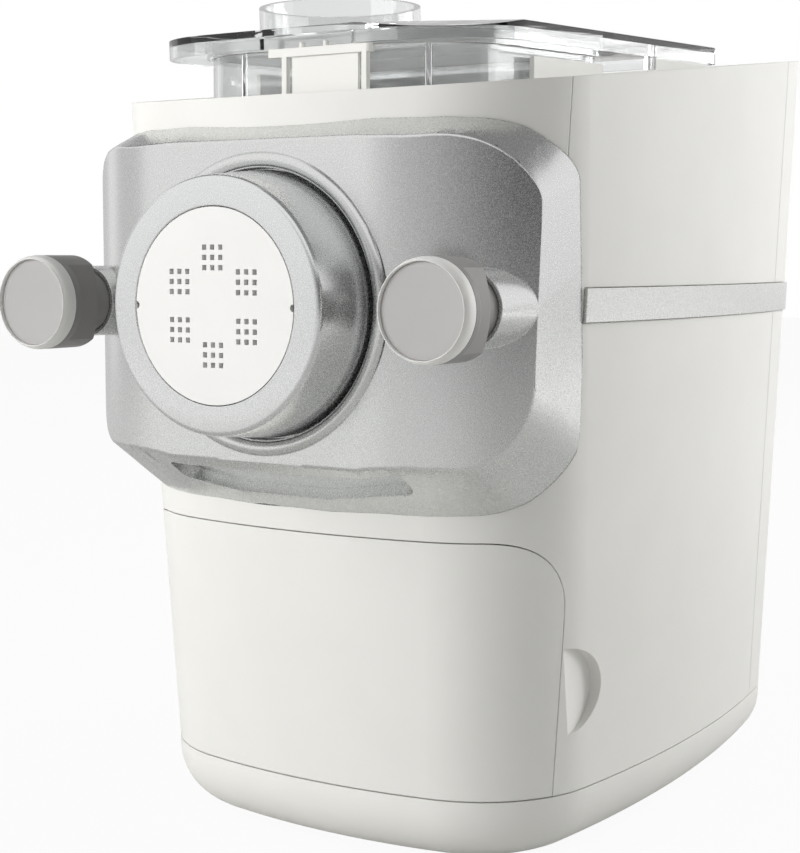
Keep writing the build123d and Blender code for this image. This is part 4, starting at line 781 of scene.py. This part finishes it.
def mirrored_wall(name, tones):
    """Upright curved screen between the first and the last heading, in degrees from the front."""
    start = tones[0][0]
    builder = bmesh.new()
    foot = Matrix.Rotation(math.radians(start), 3, "Z") @ Vector((0, -WALL_RADIUS, 0))
    low = builder.verts.new(foot)
    high = builder.verts.new(foot + Vector((0, 0, WALL_HEIGHT)))
    rail = builder.edges.new((low, high))
    bmesh.ops.spin(
        builder, geom=[low, high, rail], cent=(0, 0, 0), axis=(0, 0, 1), dvec=(0, 0, 0),
        angle=math.radians(tones[-1][0] - start), steps=WALL_STEPS, use_duplicate=False,
    )
    mirrored_screen(name, builder, tones)


def mirrored_roof(name, x, y, size, tone):
    """Level square screen overhead, of one grey, that reaches a size to each side."""
    builder = bmesh.new()
    place = Matrix.Translation((x, y, ROOF_HEIGHT))
    bmesh.ops.create_grid(builder, x_segments=1, y_segments=1, size=size, matrix=place)
    roof = mirrored_screen(name, builder, [(-80, tone), (200, tone)])
    roof.visible_shadow = False


def make_room(sky_strength):
    """White surroundings that light the machine evenly."""
    world = bpy.data.worlds.new("white room")
    world.use_nodes = True
    tree = world.node_tree
    tree.nodes.clear()
    sky = add_node(tree, "ShaderNodeBackground", inputs={"Color": WHITE, "Strength": sky_strength})
    surface = white_for_views(tree, sky.outputs[0])
    add_node(tree, "ShaderNodeOutputWorld", links={"Surface": surface})
    bpy.context.scene.world = world


def make_floor(painted_highlight_spot):
    """Pale floor that takes the machine's shadow and is otherwise nearly white to the camera; in silver it
    mirrors painted light.
    """
    builder = bmesh.new()
    bmesh.ops.create_grid(builder, x_segments=1, y_segments=1, size=FLOOR_REACH)
    mesh = bpy.data.meshes.new("floor")
    builder.to_mesh(mesh)
    builder.free()
    floor = add_object("floor", mesh)
    tree, coordinates = new_material("pale_floor")
    patches = add_node(
        tree, "ShaderNodeTexNoise", links={"Vector": coordinates},
        inputs={"Scale": 1 / (60 * MM), "Detail": 2.0, "Roughness": 0.6},
    ).outputs["Fac"]
    tone = add_node(
        tree, "ShaderNodeValToRGB", links={"Fac": patches},
        stops=[(0.3, linear("CDCDCB")), (0.7, linear("D1D1CF"))],
    ).outputs["Color"]
    shader = add_node(
        tree, "ShaderNodeBsdfPrincipled", links={"Base Color": tone}, inputs={"Roughness": 0.8}
    )
    path = add_node(tree, "ShaderNodeLightPath")
    open_view = add_node(
        tree, "ShaderNodeMath", operation="MAXIMUM",
        links={0: path.outputs["Is Camera Ray"], 1: path.outputs["Is Transmission Ray"]},
    )
    # Mirrored in silver, the floor carries painted light: little up to 0.5 m round the machine, where its
    # own shadow shows, and more from 1.7 m on. A painted highlight also brightens it within 0.4 m of one
    # place, down to nothing at 1.1 m.
    distance = add_node(
        tree, "ShaderNodeVectorMath", operation="LENGTH", links={0: coordinates}
    ).outputs["Value"]
    away = add_node(
        tree, "ShaderNodeMapRange", links={"Value": distance},
        inputs={"From Min": 0.5, "From Max": 1.7, "To Min": 0.05, "To Max": 0.55},
    ).outputs["Result"]
    off_patch = add_node(
        tree, "ShaderNodeVectorMath", operation="DISTANCE", links={0: coordinates},
        inputs={1: painted_highlight_spot},
    ).outputs["Value"]
    painted_highlight = add_node(
        tree, "ShaderNodeMapRange", links={"Value": off_patch},
        inputs={"From Min": 0.4, "From Max": 1.1, "To Min": 0.55, "To Max": 0.0},
    ).outputs["Result"]
    whiteness = add_node(tree, "ShaderNodeMath", operation="ADD", links={0: away, 1: painted_highlight})
    mirrored = add_node(
        tree, "ShaderNodeMath", operation="MULTIPLY",
        links={0: path.outputs["Is Glossy Ray"], 1: whiteness.outputs[0]},
    )
    whitened = add_node(
        tree, "ShaderNodeMath", operation="MAXIMUM",
        links={0: open_view.outputs[0], 1: mirrored.outputs[0]},
    )
    share = add_node(
        tree, "ShaderNodeMath", operation="MULTIPLY", links={0: whitened.outputs[0]},
        inputs={1: OPEN_WHITE},
    )
    paper = add_node(tree, "ShaderNodeEmission", inputs={"Color": WHITE, "Strength": 1.0})
    show(tree, add_node(
        tree, "ShaderNodeMixShader",
        links={0: share.outputs[0], 1: shader.outputs[0], 2: paper.outputs[0]},
    ))
    paint(floor, "pale_floor")


def place_camera():
    """Sets the camera up in front of the machine, to its right."""
    lens = bpy.data.cameras.new("camera")
    # the sensor's width spans the longer side of the frame, its height
    lens.lens = CAMERA_FOCAL_PIXELS * lens.sensor_width / FRAME_HEIGHT
    camera = add_object("camera", lens)
    turned = Matrix.Rotation(math.radians(CAMERA_YAW), 4, "Z")
    tipped = Matrix.Rotation(math.radians(90 - CAMERA_PITCH), 4, "X")
    rolled = Matrix.Rotation(math.radians(CAMERA_ROLL), 4, "Z")
    camera.matrix_world = Matrix.Translation(CAMERA_PLACE) @ turned @ tipped @ rolled
    bpy.context.scene.camera = camera


class DRESS_OT_stage(Operator):
    """Pale floor, white surroundings, softboxes and the camera"""
    bl_idname = "dress.stage"
    bl_label = "Stage"

    def execute(self, context):
        settings = context.scene.pasta_stage
        make_room(settings.sky)
        dark = settings.front_tone
        mirrored_wall(
            "front.screen", [(-22, 0.85), (-6, 0.58), (15, 0.42), (42, 0.2), (64, dark), (112, dark)]
        )
        left = settings.left_tone
        mirrored_wall("left.screen", [(-140, left), (-106, left), (-84, 0.85), (-60, 1.0)])
        mirrored_roof("right.roof", 1.6, 1.0, 1.8, settings.roof_tone)
        mirrored_roof("left.roof", -1.8, 1.6, 1.5, settings.left_roof_tone)
        make_floor(settings.painted_highlight_spot)
        softbox("front light", (-1.15, -1.6, 0.75), 1.7, 1.6, settings.front_power)
        softbox("rear light", (1.15, 1.65, 0.8), 1.4, 1.3, settings.rear_power)
        place_camera()
        context.scene.view_settings.view_transform = "Standard"
        return {"FINISHED"}


class DRESS_PT_sidebar(Panel):
    """Lists the pieces in the sidebar"""
    bl_label = "Pasta maker"
    bl_space_type = "VIEW_3D"
    bl_region_type = "UI"
    bl_category = "Pasta maker"

    def draw(self, context):
        for operator in OPERATORS:
            self.layout.operator(operator.bl_idname)
        for place in GROUPS:
            group = getattr(context.scene, place)
            for name in group.__annotations__:
                self.layout.prop(group, name)


OPERATORS = (
    DRESS_OT_finishes, DRESS_OT_casing, DRESS_OT_panel, DRESS_OT_ring, DRESS_OT_knobs, DRESS_OT_lid,
    DRESS_OT_rest, DRESS_OT_stage,
)
GROUPS = {
    "pasta_colours": ColourSettings, "pasta_panel": PanelSettings, "pasta_ring": RingSettings,
    "pasta_knobs": KnobSettings, "pasta_stage": StageSettings,
}


def register():
    """Registers the settings, the operators and the panel."""
    for group in GROUPS.values():
        bpy.utils.register_class(group)
    for name, group in GROUPS.items():
        setattr(bpy.types.Scene, name, PointerProperty(type=group))
    for operator in OPERATORS:
        bpy.utils.register_class(operator)
    bpy.utils.register_class(DRESS_PT_sidebar)


def unregister():
    """Takes the panel, the operators and the settings back."""
    bpy.utils.unregister_class(DRESS_PT_sidebar)
    for operator in reversed(OPERATORS):
        bpy.utils.unregister_class(operator)
    for name, group in GROUPS.items():
        delattr(bpy.types.Scene, name)
        bpy.utils.unregister_class(group)


def main():
    """Registers everything and makes each piece."""
    register()
    bpy.ops.dress.finishes()
    bpy.ops.dress.casing()
    bpy.ops.dress.panel()
    bpy.ops.dress.ring()
    bpy.ops.dress.knobs()
    bpy.ops.dress.lid()
    bpy.ops.dress.rest()
    bpy.ops.dress.stage()


if __name__ == "__main__":
    main()
